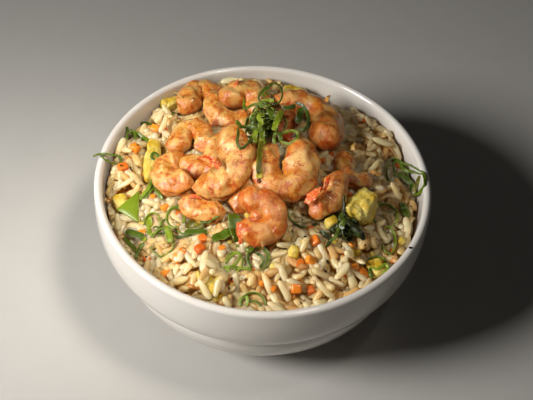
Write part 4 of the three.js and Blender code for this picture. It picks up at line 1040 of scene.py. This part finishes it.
RICE_RADIUS = 78.0
RICE_BELOW_RIM = 15
RICE_EDGE = RIM_HEIGHT - RICE_BELOW_RIM
RICE_CROWN = 16.0
RICE_BACK_RISE = 4.5
MOUND_AT = (-4.0, 10.0)
MOUND_HEIGHT = 3.5
MOUND_SPREAD = 34.0
BACK_CLUMP_AT = (9.0, 70.0)
BACK_CLUMP_SPREAD = (11, 7)
BACK_CLUMP_RISE = 5.0

# The heap along the left wall: its height, and the distances from the bowl's middle, to the left and from
# the front over which it rises.
LEFT_RISE = 7.5
LEFT_BAND, LEFT_SIDE, LEFT_FRONT = (50, 74), (0, 55), (-45, -10)

# Where the rice at the wall lies lower or higher than the dome: compass angle, spread, and rise.
WALL_SHIFTS = [(59.0, 12.0, -5.0), (33.0, 8.0, 4.0)]
WALL_BAND = (52, 70)

# The height of the heap's relief, and the share, wavelength and seed of its two waves. Another wave says
# which clumps are browner.
CLUMP_RELIEF = 1.3
CLUMP_WAVES = [(0.7, 26.0, 300), (0.5, 11.0, 301)]
TONE_LENGTH, TONE_SEED = 15.0, 303
HEAP_SLACK = 0.1

# The bed under the grains: how deep it lies, how far it follows the relief and the wall's shifts, its own
# roughness, the levels of its rings below the rice's edge, and its gap to the bowl.
BED_DEPTH = 4.2
BED_RELIEF = 0.6
BED_FOLLOWS = 0.6
BED_ROUGH, BED_ROUGH_LENGTH, BED_SEED = 0.3, 4.0, 302
BED_LEVELS = np.array([48, 34, 24, 15, 11, 9.0])
BED_GAP = 0.6

# The maps of the heap: the width of a cell, how far they reach, and the height that means nothing there.
CELL = 0.5
REACH = 80.0
UNREACHED = 999.0

# The radius that grains may lie in. Beyond the outer radius the heap slopes down to what lies on it, by so
# much a cell, over so many cells.
RICE_ROOM = 76.9
ROOM_SLACK = 0.9
OUTER_RADIUS = 50
TOPPING_SLOPE = 0.3
TOPPING_REACH = 16

# How a bit settles: where its ends begin and how far apart they are, as shares of its half length, how
# steep it may tip, the per cent of its underside that stays clear of the heap and of its top that may be
# buried, and how far what lies over it may press it down.
END_SHARE = 0.3
END_SPACING = 1.25
STEEPEST = 0.7
REST_SHARE = 88
ROOF_SHARE = 4
MOST_PRESSED = 2.6

# A whole grain, and how long and how frequent whole, long, short and broken ones are. Its rings stand at
# shares of its half length.
GRAIN_LENGTH = 9.8
GRAIN_WIDTH = 3.5
GRAIN_LENGTHS, GRAIN_CHANCES = (1.0, 1.12, 0.84, 0.6), (0.4, 0.15, 0.25, 0.2)
GRAIN_RINGS = np.array([-0.99, -0.9, -0.68, -0.36, 0, 0.36, 0.68, 0.9, 0.99])[:, None]
GRAIN_SIDES = 10
GRAIN_BEND = 0.45
GRAIN_ARCH = 0.3
GRAINS_BELOW, GRAINS_ABOVE = 2232, 1368
GRAINS_A_PIECE = 1000

# How much a grain is browned by its depth, partly by soy and partly as painted shade down in the
# gaps, and how much soy it takes up by the clump that it lies in and by chance.
DEPTH_SHADE_AND_SOY, SOY_CLUMP, SOY_CHANCE = 0.3, 0.2, 0.12

# How far grains sink in, how much they lean at random, how far the heap may be overfilled, and the zone by
# the wall in which bits lie along it, give or take the scatter.
GRAIN_SINK = (0.4, 1.4)
GRAIN_LEAN = 0.22
OVERFULL = -0.3
WALL_ZONE = 6
WALL_SCATTER = 0.55
DICE_SQUARE = 0.42
DICE_GROWN = 1.15
HEAP_SEED = 7

# The curd that grains lie on round its edge.
HALF_BURIED = "egg_front_left"

# The place of each cube of carrot and crumb of egg, and its size.
CARROT_DICE = [
    (-65.0, -30.6, 5), (-38.8, -26.7, 4), (-46.1, -22.3, 3.6), (-52.7, -15.8, 3), (-46.9, -37.9, 4.2),
    (-39.0, -40.2, 3.6), (-50.6, -41.7, 4), (-51.2, -49.5, 3.8), (-34.9, -47.5, 3.8), (-37.4, -50.6, 4.4),
    (-26.3, -39.1, 4), (-19.5, -41.7, 5.4), (-17.0, -44.7, 3.2), (-27.1, -47.0, 4.6), (-42.1, -56.2, 3.8),
    (-12.5, -55.3, 4.2), (-16.5, -60.8, 4.2), (-1.4, -56.3, 4.6), (6.4, -49.4, 4.6), (19.0, -49.7, 4),
    (24.0, -47.9, 4), (25.9, -38.1, 4.6), (29.5, -42.2, 4.6), (7.3, -63.7, 3.8), (18.1, -63.0, 5.2),
    (24.5, -61.6, 4.2), (2.4, -61.0, 2.6), (56.9, -29.0, 3.6), (39.6, -44.7, 3.4), (45.0, -47.8, 4),
    (49.0, -49.7, 5), (40.4, -51.8, 3), (65.0, -35.6, 3.4), (63.7, -32.2, 3.2), (63.7, -38.5, 2.6),
    (60.3, -20.3, 2.2), (58.7, -38.9, 2.6), (-60.6, 39.5, 5.4), (-57.0, 29.6, 4.2), (-52.7, 28.6, 4),
    (-71.0, 20.0, 3.6), (-65.3, 14.2, 5), (-71.2, 10.2, 4), (-69.5, 1.5, 4.4), (-54.6, 47.4, 2.4),
]
EGG_CRUMBS = [
    (16.3, -44.0, 6), (10.3, -52.8, 5.5), (7.9, -52.1, 4.5), (12.2, -53.5, 5), (1.0, -55.5, 5),
    (12.1, -60.2, 3), (-16.3, -66.7, 4), (43.2, -37.6, 3.4), (45.7, -39.1, 4), (43.8, -40.5, 3.4),
    (35.5, -35.0, 3.4), (53.6, -36.1, 3), (59.8, -26.5, 3), (67.5, -25.5, 4.4), (-48.0, 50.5, 5),
    (-71.0, 5.0, 3), (-64.7, 27.9, 4), (-55.1, -34.4, 4.4), (-51.6, -29.0, 5), (-22.1, -52.9, 4.4),
    (-13.5, -39.6, 2.4),
]
SPECKS = [
    (-63.7, 14.7, 1.4), (-65.4, 0.6, 1.6), (-70.0, 0.8, 1.2), (-68.0, 30.0, 1.8), (-61.0, 37.5, 1),
    (-51.9, -48.3, 1.4), (-52.2, -37.1, 1), (-46.8, -34.2, 1.2), (-35.4, -44.8, 1.2), (-12.5, -63.7, 1.2),
    (-11.6, -59.8, 1.4), (20.9, -38.5, 1.4), (32.0, -46.7, 1.4), (18.8, -63.2, 1.1), (6.7, -69.2, 1.2),
    (31.3, -51.9, 1.6), (32.2, -46.8, 1.4), (59.0, -31.4, 1.4), (49.6, -36.7, 1),
]
RICE_CLOUD = 4.348
GRAIN_GLOW = 0.45
RICE_CREAM = "#FFF1C8"
RICE_IVORY = "#FADB96"
RICE_BROWN = "#DF9F50"
BED_SOY_AND_SHADE_BROWN = "#E0AC62"
CARROT_ORANGE = "#EA9028"
CARROT_DEEP = "#D2641A"
BURNT = "#24140B"


def rice_height(x, y):
    """The height of the bare rice: a dome over the bowl, a little higher at the back, with a round mound
    that falls off as a bell curve under the shrimps."""
    dome = RICE_CROWN * (1 - (x * x + y * y) / RICE_RADIUS ** 2)
    back = RICE_BACK_RISE * (np.maximum(y, 0) / RICE_RADIUS) ** 2
    off = ((x - MOUND_AT[0]) ** 2 + (y - MOUND_AT[1]) ** 2) / MOUND_SPREAD ** 2
    return RICE_EDGE + dome + back + MOUND_HEIGHT * np.exp(-2 * off)


def wall_shift(x, y):
    """How far the rice lies off its dome near the wall: it is heaped up along the left side, and a sum of
    bell curves in compass angle is added, which fade out towards the middle of the bowl."""
    radius = np.hypot(x, y)
    left_side = ramp(radius, *LEFT_BAND) * ramp(-x, *LEFT_SIDE) * ramp(y, *LEFT_FRONT)
    angle = np.degrees(np.arctan2(y, x))
    bells = sum(rise * bell(angle - at, spread) for at, spread, rise in WALL_SHIFTS)
    return LEFT_RISE * left_side + ramp(radius, *WALL_BAND) * bells


def clumps(x, y):
    """The relief of the heap over (x, y): two ripples added up."""
    flat = np.stack([x, y, 0 * x], -1)
    return CLUMP_RELIEF * sum(share * ripple(flat, wave, seed) for share, wave, seed in CLUMP_WAVES)


def bed_height(x, y):
    """The height of the bed: the rice's, less the bed's depth, with a share of the relief and of the
    shifts at the wall."""
    return rice_height(x, y) - BED_DEPTH + BED_RELIEF * clumps(x, y) + BED_FOLLOWS * wall_shift(x, y)


cells = np.arange(-REACH, REACH, CELL) + CELL / 2
grid_x, grid_y = np.meshgrid(cells, cells, indexing="ij")
from_middle = np.hypot(grid_x, grid_y)
clump_tone = ripple(np.stack([grid_x, grid_y, 0 * grid_x], -1), TONE_LENGTH, TONE_SEED)
clump_x = (grid_x - BACK_CLUMP_AT[0]) / BACK_CLUMP_SPREAD[0]
clump_y = (grid_y - BACK_CLUMP_AT[1]) / BACK_CLUMP_SPREAD[1]
back_clump = np.exp(-clump_x ** 2 - clump_y ** 2)

# The level that the heap is to reach, and the top that it has so far, in every cell.
level = rice_height(grid_x, grid_y) - HEAP_SLACK + clumps(grid_x, grid_y) + wall_shift(grid_x, grid_y)
level = level + BACK_CLUMP_RISE * back_clump
top = bed_height(grid_x, grid_y)

# The lowest and the highest point of what lies on the rice, in every cell.
over = np.concatenate(toppings)
column, row = np.floor((over[:, :2].T + REACH) / CELL).astype(int)
inside = (column >= 1) & (column < len(cells) - 1) & (row >= 1) & (row < len(cells) - 1)
column, row, over = column[inside], row[inside], over[inside, 2]
ceiling = np.full(level.shape, UNREACHED)
for shift_x in (-1, 0, 1):
    for shift_y in (-1, 0, 1):
        np.minimum.at(ceiling, (column + shift_x, row + shift_y), over)
roof = np.full(level.shape, -UNREACHED)
np.maximum.at(roof, (column, row), over)

# The heap stays below what lies on it, and slopes down to it near the wall.
nearby = ceiling.copy()
for _ in range(TOPPING_REACH):
    for axis in (0, 1):
        for shift in (-1, 1):
            nearby = np.minimum(nearby, np.roll(nearby, shift, axis) + TOPPING_SLOPE)
level = np.minimum(level, np.where(from_middle > OUTER_RADIUS, nearby, ceiling))
ceiling[from_middle > RICE_ROOM + ROOM_SLACK] = -UNREACHED


def cell_of(x, y):
    """The row and column of the cell that holds (x, y)."""
    return int((x + REACH) / CELL), int((y + REACH) / CELL)


def settle(x, y, half, azimuth, sink, lean, proud):
    """Lowers an oval bit onto the heap at (x, y): it tips to the slope under its two ends, comes down
    until the given share of its underside touches, sinks a little, and gives way to what is over it.
    The heap's top rises to the bit. Returns its middle height and its slope, or None without room."""
    cos, sin = math.cos(azimuth), math.sin(azimuth)
    half = np.maximum(half, (CELL, CELL, 0.1))
    wide = int(half[0] / CELL) + 2
    i, j = cell_of(x, y)
    if min(i, j) < wide or max(i, j) + wide + 1 > len(cells):
        return None
    patch = (slice(i - wide, i + wide + 1), slice(j - wide, j + wide + 1))
    dx, dy = grid_x[patch] - x, grid_y[patch] - y
    u, v = dx * cos + dy * sin, dy * cos - dx * sin
    inner = 1 - (u / half[0]) ** 2 - (v / half[1]) ** 2
    under = inner > 0.02
    here = top[patch]
    front, rear = here[under & (u > half[0] * END_SHARE)], here[under & (u < -half[0] * END_SHARE)]
    slope = 0.0
    if len(front) and len(rear):
        rise = (front.mean() - rear.mean()) / (END_SPACING * half[0])
        slope = float(np.clip(rise + lean, -STEEPEST, STEEPEST))
    bulge = half[2] * np.sqrt(np.maximum(inner, 0))
    height = float(np.percentile((here - slope * u + bulge)[under], REST_SHARE)) - sink
    allowed = float(np.percentile((ceiling[patch] - slope * u - bulge)[under], ROOF_SHARE))
    if allowed < height - MOST_PRESSED:
        return None
    height = min(height, allowed, level[i, j] + proud)
    top[patch] = np.where(under, np.maximum(here, height + slope * u + bulge), here)
    return height, slope


def lowest_place(inset, tries=36):
    """Of some places drawn over the bowl, the one where the heap is furthest below its final level."""
    radius = (RICE_ROOM - inset) * np.sqrt(draw.random(tries))
    turn = draw.uniform(0, 2 * np.pi, tries)
    x, y = radius * np.cos(turn), radius * np.sin(turn)
    i, j = ((x + REACH) / CELL).astype(int), ((y + REACH) / CELL).astype(int)
    missing = level[i, j] - top[i, j]
    best = int(np.argmax(missing))
    return x[best], y[best], missing[best]


def lay(rings, at, azimuth, slope):
    """Turns rings about +Z to the azimuth and tips them up by the slope, then moves them to at."""
    tip = Matrix.Rotation(azimuth, 3, "Z") @ Matrix.Rotation(-math.atan(slope), 3, "Y")
    return rings @ np.array(tip).T + np.array(at, float)


def grain():
    """A cooked grain along +X: rings whose radius is a blunt oval's, wider towards the germ end, squeezed
    flat, dented by two slow waves, and bent a little to one side. Also its three half sizes."""
    s = GRAIN_RINGS
    bow = s * s - 0.4
    long = 0.5 * GRAIN_LENGTH * draw.choice(GRAIN_LENGTHS, p=GRAIN_CHANCES) * draw.uniform(0.9, 1.1)
    wide = 0.5 * GRAIN_WIDTH * draw.uniform(0.78, 1.15)
    radius = wide * (1 - np.abs(s) ** draw.uniform(2.2, 4.6)) ** 0.5 * (1 + draw.uniform(-0.1, 0.3) * s)
    turn = 2 * np.pi * np.arange(GRAIN_SIDES)[None, :] / GRAIN_SIDES + draw.uniform(0, 1)
    dents = 1 + 0.07 * np.sin(2 * turn + 4 * s + draw.uniform(0, 6))
    dents = dents + 0.05 * np.sin(3 * turn - 5 * s + draw.uniform(0, 6))
    bend = draw.normal(0, GRAIN_BEND) * bow
    squeeze = draw.uniform(0.66, 0.84)
    across = radius * np.cos(turn) * dents + bend
    up = squeeze * radius * np.sin(turn) * dents + GRAIN_ARCH * draw.uniform(-1, 1) * bow
    return np.stack([long * s + 0 * across, across, up], -1), (long, wide, squeeze * wide)


def dice(size):
    """A cube of carrot: a ball squared off to rounded edges, a little uneven. Also its half sizes."""
    rings = squared(ball((1, 1, 1), 9, 16), DICE_SQUARE)
    return rings * 0.5 * size * draw.uniform(0.72, 1.05, 3) * (1, 1, 0.8), (size / 2, size / 2, 0.4 * size)


def crumb(size):
    """A crumb of egg: a ball pushed about by two ranges of lumps. Also its half sizes."""
    half = (0.5 * size, 0.5 * size, 0.4 * size)
    rings = ball(half, 12, 16)
    seed = int(draw.integers(1 << 30))
    lumps = 0.14 * size * ripple(rings, 0.9 * size, seed) + 0.06 * size * ripple(rings, 0.4 * size, seed + 1)
    return rings + unit(rings) * lumps[..., None], half


def speck(size):
    """A burnt speck: a thin crooked splinter, which is a flat oval ball pushed about by lumps. Also its
    half sizes."""
    half = (0.8 * size, 0.34 * size, 0.2 * size)
    rings = ball(half, 8, 12)
    lumps = 0.16 * size * ripple(rings, 0.8 * size, int(draw.integers(1 << 30)))
    return rings + unit(rings) * lumps[..., None], half


draw = np.random.default_rng(HEAP_SEED)
bits = {"grains": [], "carrots": [], "crumbs": [], "specks": []}


def drop(kind, bit, x, y, sink, tint, lean=0.0, proud=99.0):
    """Settles one bit and keeps it with its tint, unless it has no room. Near the wall a bit lies along
    it. Proud is how far its middle may stay above the heap's level."""
    rings, half = bit
    azimuth = draw.uniform(0, 2 * np.pi)
    if math.hypot(x, y) > RICE_ROOM - WALL_ZONE:
        azimuth = math.atan2(y, x) + np.pi / 2 + draw.normal(0, WALL_SCATTER)
    found = settle(x, y, half, azimuth, sink, lean, proud)
    if found:
        height, slope = found
        bits[kind].append((closed_skin(lay(rings, (x, y, height), azimuth, slope)), tint))


def drop_grains(count):
    """Drops grains one by one where the heap is lowest, until it is up to its level. The deeper a grain
    lies, the browner it is: partly soy that it has taken up, and partly painted shade for the gaps."""
    for _ in range(count):
        bit = grain()
        x, y, missing = lowest_place(1.6)
        if missing < OVERFULL:
            continue
        # Depth browns a grain: partly soy, partly painted shade down in the gaps between the grains.
        soy = DEPTH_SHADE_AND_SOY * missing / BED_DEPTH + SOY_CLUMP * clump_tone[cell_of(x, y)]
        soy = np.clip(soy + draw.normal(0.0, SOY_CHANCE), 0, 1)
        drop("grains", bit, x, y, draw.uniform(*GRAIN_SINK), soy, draw.normal(0, GRAIN_LEAN))


def bury_edge(at, half, turn, tries=60):
    """Lays grains on the edge of a curd: round its rim the curd's own top is taken as the heap's, and
    grains are dropped there at random."""
    cos, sin = math.cos(math.radians(turn)), math.sin(math.radians(turn))
    dx, dy = grid_x - at[0], grid_y - at[1]
    share = np.hypot((dx * cos + dy * sin) / half[0], (dy * cos - dx * sin) / half[1])
    rim = (share > 0.5) & (share < 1.6)
    top[rim] = np.maximum(top, roof)[rim]
    ceiling[rim] = UNREACHED
    for angle in draw.uniform(0, 2 * np.pi, tries):
        bit = grain()
        u, v = half[0] * math.cos(angle), half[1] * math.sin(angle)
        x, y = at[0] + u * cos - v * sin, at[1] + u * sin + v * cos
        if top[cell_of(x, y)] < at[2] + half[2]:
            drop("grains", bit, x, y, 0.6, np.clip(draw.normal(0.1, 0.12), 0, 1))


# The heap is built from the bottom up: most of the grains, then bits that lie among them, then the rest
# of the grains, and last what is to be seen on top.
drop_grains(GRAINS_BELOW)
for kind, make, sizes, count in (("carrots", dice, (2.4, 4.2), 60), ("crumbs", crumb, (2.4, 5.0), 36)):
    for size in draw.uniform(*sizes, count):
        x, y, missing = lowest_place(4, 6)
        drop(kind, make(size), x, y, 0.4, draw.uniform())
drop_grains(GRAINS_ABOVE)
bury_edge(*EGGS[HALF_BURIED][:3])
for x, y, size in CARROT_DICE:
    size *= DICE_GROWN
    drop("carrots", dice(size), x, y, 0.2 * size, draw.uniform(), 0.0, 0.85 * size)
for x, y, size in EGG_CRUMBS:
    drop("crumbs", crumb(size), x, y, 0.25 * size, draw.uniform(), 0.0, 0.45 * size)
for x, y, size in SPECKS:
    drop("specks", speck(size), x, y, 0.12 * size, 0.5)
for size in draw.uniform(0.4, 1.0, 90):
    x, y, missing = lowest_place(2, 2)
    drop("specks", speck(size), x, y, 0.12 * size, 0.5)


def bit_piece(name, kept, material, replaced=()):
    """One piece of bits, each with its own tint."""
    skins, tints = zip(*kept)
    tint = np.repeat(tints, [len(skin[0]) for skin in skins])
    make_piece(name, joined(skins), material, replaced, {"tint": tint})


# Cooked rice: starch that glows through, cream to ivory, browned down in the gaps partly by soy and
# partly as painted shade, and wet with oil on its outside.
cooked_rice, tree, surface = new_material(
    "cooked_rice", IOR=1.42, Subsurface_Weight=0.85, Subsurface_Scale=1.8 * MM,
    Subsurface_Radius=(1.0, 0.96, 0.85), Coat_Weight=0.5, Coat_Roughness=0.14)
place = add_node(tree, "TexCoord", {}, "Object")
tint = add_node(tree, "Attribute", {}, "Fac", attribute_name="tint")
cloud = add_node(tree, "TexNoise", {"Vector": place, "Scale": per_size(RICE_CLOUD), "Detail": 2.0})
stain = add_node(tree, "Math", {0: cloud, 1: 0.7, 2: tint}, operation="MULTIPLY_ADD")
rice_colour = layered(
    tree, RICE_CREAM, (RICE_IVORY, stain, 0.35, 0.75, 1), (RICE_BROWN, stain, 0.68, 1.15, 0.9))
feed(tree, surface, {
    "Base Color": rice_colour,
    "Roughness": add_node(tree, "MapRange", {
        "Value": cloud, "From Min": 0.35, "From Max": 0.65, "To Min": 0.22, "To Max": 0.42}),
})
glow = add_node(tree, "BsdfTranslucent", {"Color": rice_colour})
steeped = add_node(tree, "MixShader", {0: GRAIN_GLOW, 1: surface.outputs[0], 2: glow})
feed(tree, tree.nodes["Material Output"], {"Surface": steeped})

# The deeper rice: the same starch, soaked in soy and oil. Its brown is also painted shade for the gaps
# between the grains, where it shows.
soaked_shaded_rice, tree, surface = new_material(
    "soaked_shaded_rice", Base_Color=linear(BED_SOY_AND_SHADE_BROWN), IOR=1.4, Roughness=0.5, Subsurface_Weight=0.3,
    Subsurface_Scale=2 * MM)

# Diced carrot: firm and juicy, orange, some cubes deeper, glossy with oil.
carrot_flesh, tree, surface = new_material(
    "carrot", IOR=1.4, Roughness=0.3, Subsurface_Weight=0.3, Subsurface_Scale=1.2 * MM,
    Subsurface_Radius=(1.0, 0.4, 0.1), Coat_Weight=0.3, Coat_Roughness=0.2)
tint = add_node(tree, "Attribute", {}, "Fac", attribute_name="tint")
feed(tree, surface, {"Base Color": layered(tree, CARROT_ORANGE, (CARROT_DEEP, tint, 0, 1, 1))})

# Burnt bits from the wok: char, black-brown with a dull gloss.
charred_bits, tree, surface = new_material(
    "charred_bits", Base_Color=linear(BURNT), IOR=1.4, Roughness=0.7)

# The bed's rings run from its middle out to the wall, and then down the bowl's inside.
bed_turn = 2 * np.pi * np.arange(96)[None, :] / 96
bed_radius = np.array([0.5, *np.linspace(4, RICE_ROOM, 26)])[:, None]
bed_x, bed_y = bed_radius * np.cos(bed_turn), bed_radius * np.sin(bed_turn)
bed_rough = BED_ROUGH * ripple(np.stack([bed_x, bed_y, 0 * bed_x], -1), BED_ROUGH_LENGTH, BED_SEED)
bed_top = np.stack([bed_x, bed_y, bed_height(bed_x, bed_y) + bed_rough], -1)
wall_radius, wall_height = np.array(INSIDE[::-1]).T
bed_side = (np.interp(BED_LEVELS, wall_height, wall_radius) - BED_GAP)[:, None]
bed_below = np.stack([
    bed_side * np.cos(bed_turn), bed_side * np.sin(bed_turn), BED_LEVELS[:, None] + 0 * bed_turn], -1)
make_piece("rice_bed", closed_skin(np.concatenate([bed_top, bed_below])), soaked_shaded_rice, ["rice"])

for number, start in enumerate(range(0, len(bits["grains"]), GRAINS_A_PIECE)):
    kept = bits["grains"][start:start + GRAINS_A_PIECE]
    bit_piece(f"rice_grains_{number}", kept, cooked_rice, ["rice"])
bit_piece("carrot_dice", bits["carrots"], carrot_flesh)
bit_piece("egg_crumbs", bits["crumbs"], scrambled_egg)
bit_piece("burnt_specks", bits["specks"], charred_bits)


# ---- Drop of sauce and speck on the rim ----------------------------------------------------------
# A drop of sauce that the cook let fall on a shrimp, thin and dark, and one burnt bit of the rice that
# landed on the bowl's rim.

SAUCE_AT = (-1.9, -15.2, 87.2)
SAUCE_SIZE = (1.2, 1.2, 0.95)
SAUCE_BROWN = "#5A2408"
RIM_SPECK_AT = (70.2, -38.9, 74.2)
RIM_SPECK_SIZE = (0.9, 0.6, 0.4)

# Thin soy sauce: dark and clear, with a wet skin, so that little but its highlight shows.
soy_sauce, tree, surface = new_material(
    "sauce_drop", Base_Color=linear(SAUCE_BROWN), IOR=1.36, Roughness=0.04, Coat_Weight=0.6,
    Coat_Roughness=0.03)
sauce_skin = closed_skin(ball(SAUCE_SIZE, 14, 24) + np.array(SAUCE_AT))
make_piece("sauce_drop", sauce_skin, soy_sauce)
speck_skin = closed_skin(ball(RIM_SPECK_SIZE, 10, 16) + np.array(RIM_SPECK_AT))
make_piece("rim_speck", speck_skin, charred_bits)


# ---- Floor, light and camera ---------------------------------------------------------------------
# A pale matt table top. The main lamp is a round softbox low at the front left, and a weak one with a
# grid opens the rim's shadow on the left side. A faint even sky fills the rest.

FLOOR_SIZE = 4
BOARD_LIGHT = "#B6B3AE"
BOARD_DARK = "#B1AEA9"
BOARD_CLOUD = 16.67
KEY_COMPASS = (-0.917, -0.399)
KEY_ELEVATION = 36
KEY_DISTANCE = 0.62
KEY_SIZE = 0.22
KEY_SPREAD = 110
KEY_AIM = (-0.03, -0.03, 0.07)
KEY_POWER = 2.05
KEY_TONE = (1.0, 0.985, 0.96)
FILL_AT = (0.1, -0.08, 0.5)
FILL_AIM = (-0.075, -0.015, 0.07)
FILL_SIZE = 0.1
FILL_SPREAD = 32
FILL_POWER = 0.06
FILL_TONE = (1.0, 0.94, 0.84)
SKY_POWER = 0.03
SKY_TONE = (1.0, 0.96, 0.9, 1.0)
LENS = 66.08
SENSOR_WIDTH = 36
NEAREST_SEEN = 0.01
CAMERA_AT = (0.0, -0.32329, 0.4288)
CAMERA_RIGHT = (0.9978, 0.0471, 0.0467)
CAMERA_FORWARD = (0.0044, 0.6555, -0.7552)

# Matt painted board: pale grey, a little cloudy, with no shine.
matt_board, tree, surface = new_material("matt_painted_board", Roughness=0.75)
place = add_node(tree, "TexCoord", {}, "Object")
board_tone = add_node(tree, "TexNoise", {"Vector": place, "Scale": per_size(BOARD_CLOUD), "Detail": 2.0})
feed(tree, surface, {"Base Color": layered(tree, BOARD_LIGHT, (BOARD_DARK, board_tone, 0, 1, 1))})
bpy.ops.mesh.primitive_plane_add(size=FLOOR_SIZE)
floor = bpy.context.object
floor.name = "table_top"
floor.data.materials.append(matt_board)


def aimed(at, forward, right):
    """The 4x4 placement of a camera or lamp at a point: its axes are right, up and against forward."""
    forward = unit(np.array(forward, float))
    right = unit(np.array(right, float) - np.dot(right, forward) * forward)
    placement = np.eye(4)
    placement[:3] = np.stack([right, np.cross(right, forward), -forward, at], 1)
    return Matrix(placement)


def studio_lamp(name, at, aim, size, power, spread, tone):
    """A round softbox at a point, turned to its aim, whose grid keeps its light within the spread."""
    light = bpy.data.lights.new(name, "AREA")
    light.shape = "DISK"
    light.size = size
    light.energy = power
    light.spread = math.radians(spread)
    light.color = tone
    lamp = bpy.data.objects.new(name, light)
    bpy.context.scene.collection.objects.link(lamp)
    lamp.matrix_world = aimed(at, np.array(aim) - np.array(at), (0, 1, 0))


rise = math.radians(KEY_ELEVATION)
towards_key = np.array([*(math.cos(rise) * np.array(KEY_COMPASS)), math.sin(rise)])
key_at = np.array(KEY_AIM) + KEY_DISTANCE * towards_key
studio_lamp("key_light", key_at, KEY_AIM, KEY_SIZE, KEY_POWER, KEY_SPREAD, KEY_TONE)
studio_lamp("fill_light", FILL_AT, FILL_AIM, FILL_SIZE, FILL_POWER, FILL_SPREAD, FILL_TONE)

world = bpy.data.worlds.new("studio")
world.use_nodes = True
feed(world.node_tree, world.node_tree.nodes["Background"], {"Color": SKY_TONE, "Strength": SKY_POWER})
bpy.context.scene.world = world
bpy.context.scene.view_settings.view_transform = "Standard"

lens = bpy.data.cameras.new("camera")
lens.lens = LENS
lens.sensor_width = SENSOR_WIDTH
lens.clip_start = NEAREST_SEEN
camera = bpy.data.objects.new("camera", lens)
bpy.context.scene.collection.objects.link(camera)
camera.matrix_world = aimed(CAMERA_AT, CAMERA_FORWARD, CAMERA_RIGHT)
bpy.context.scene.camera = camera
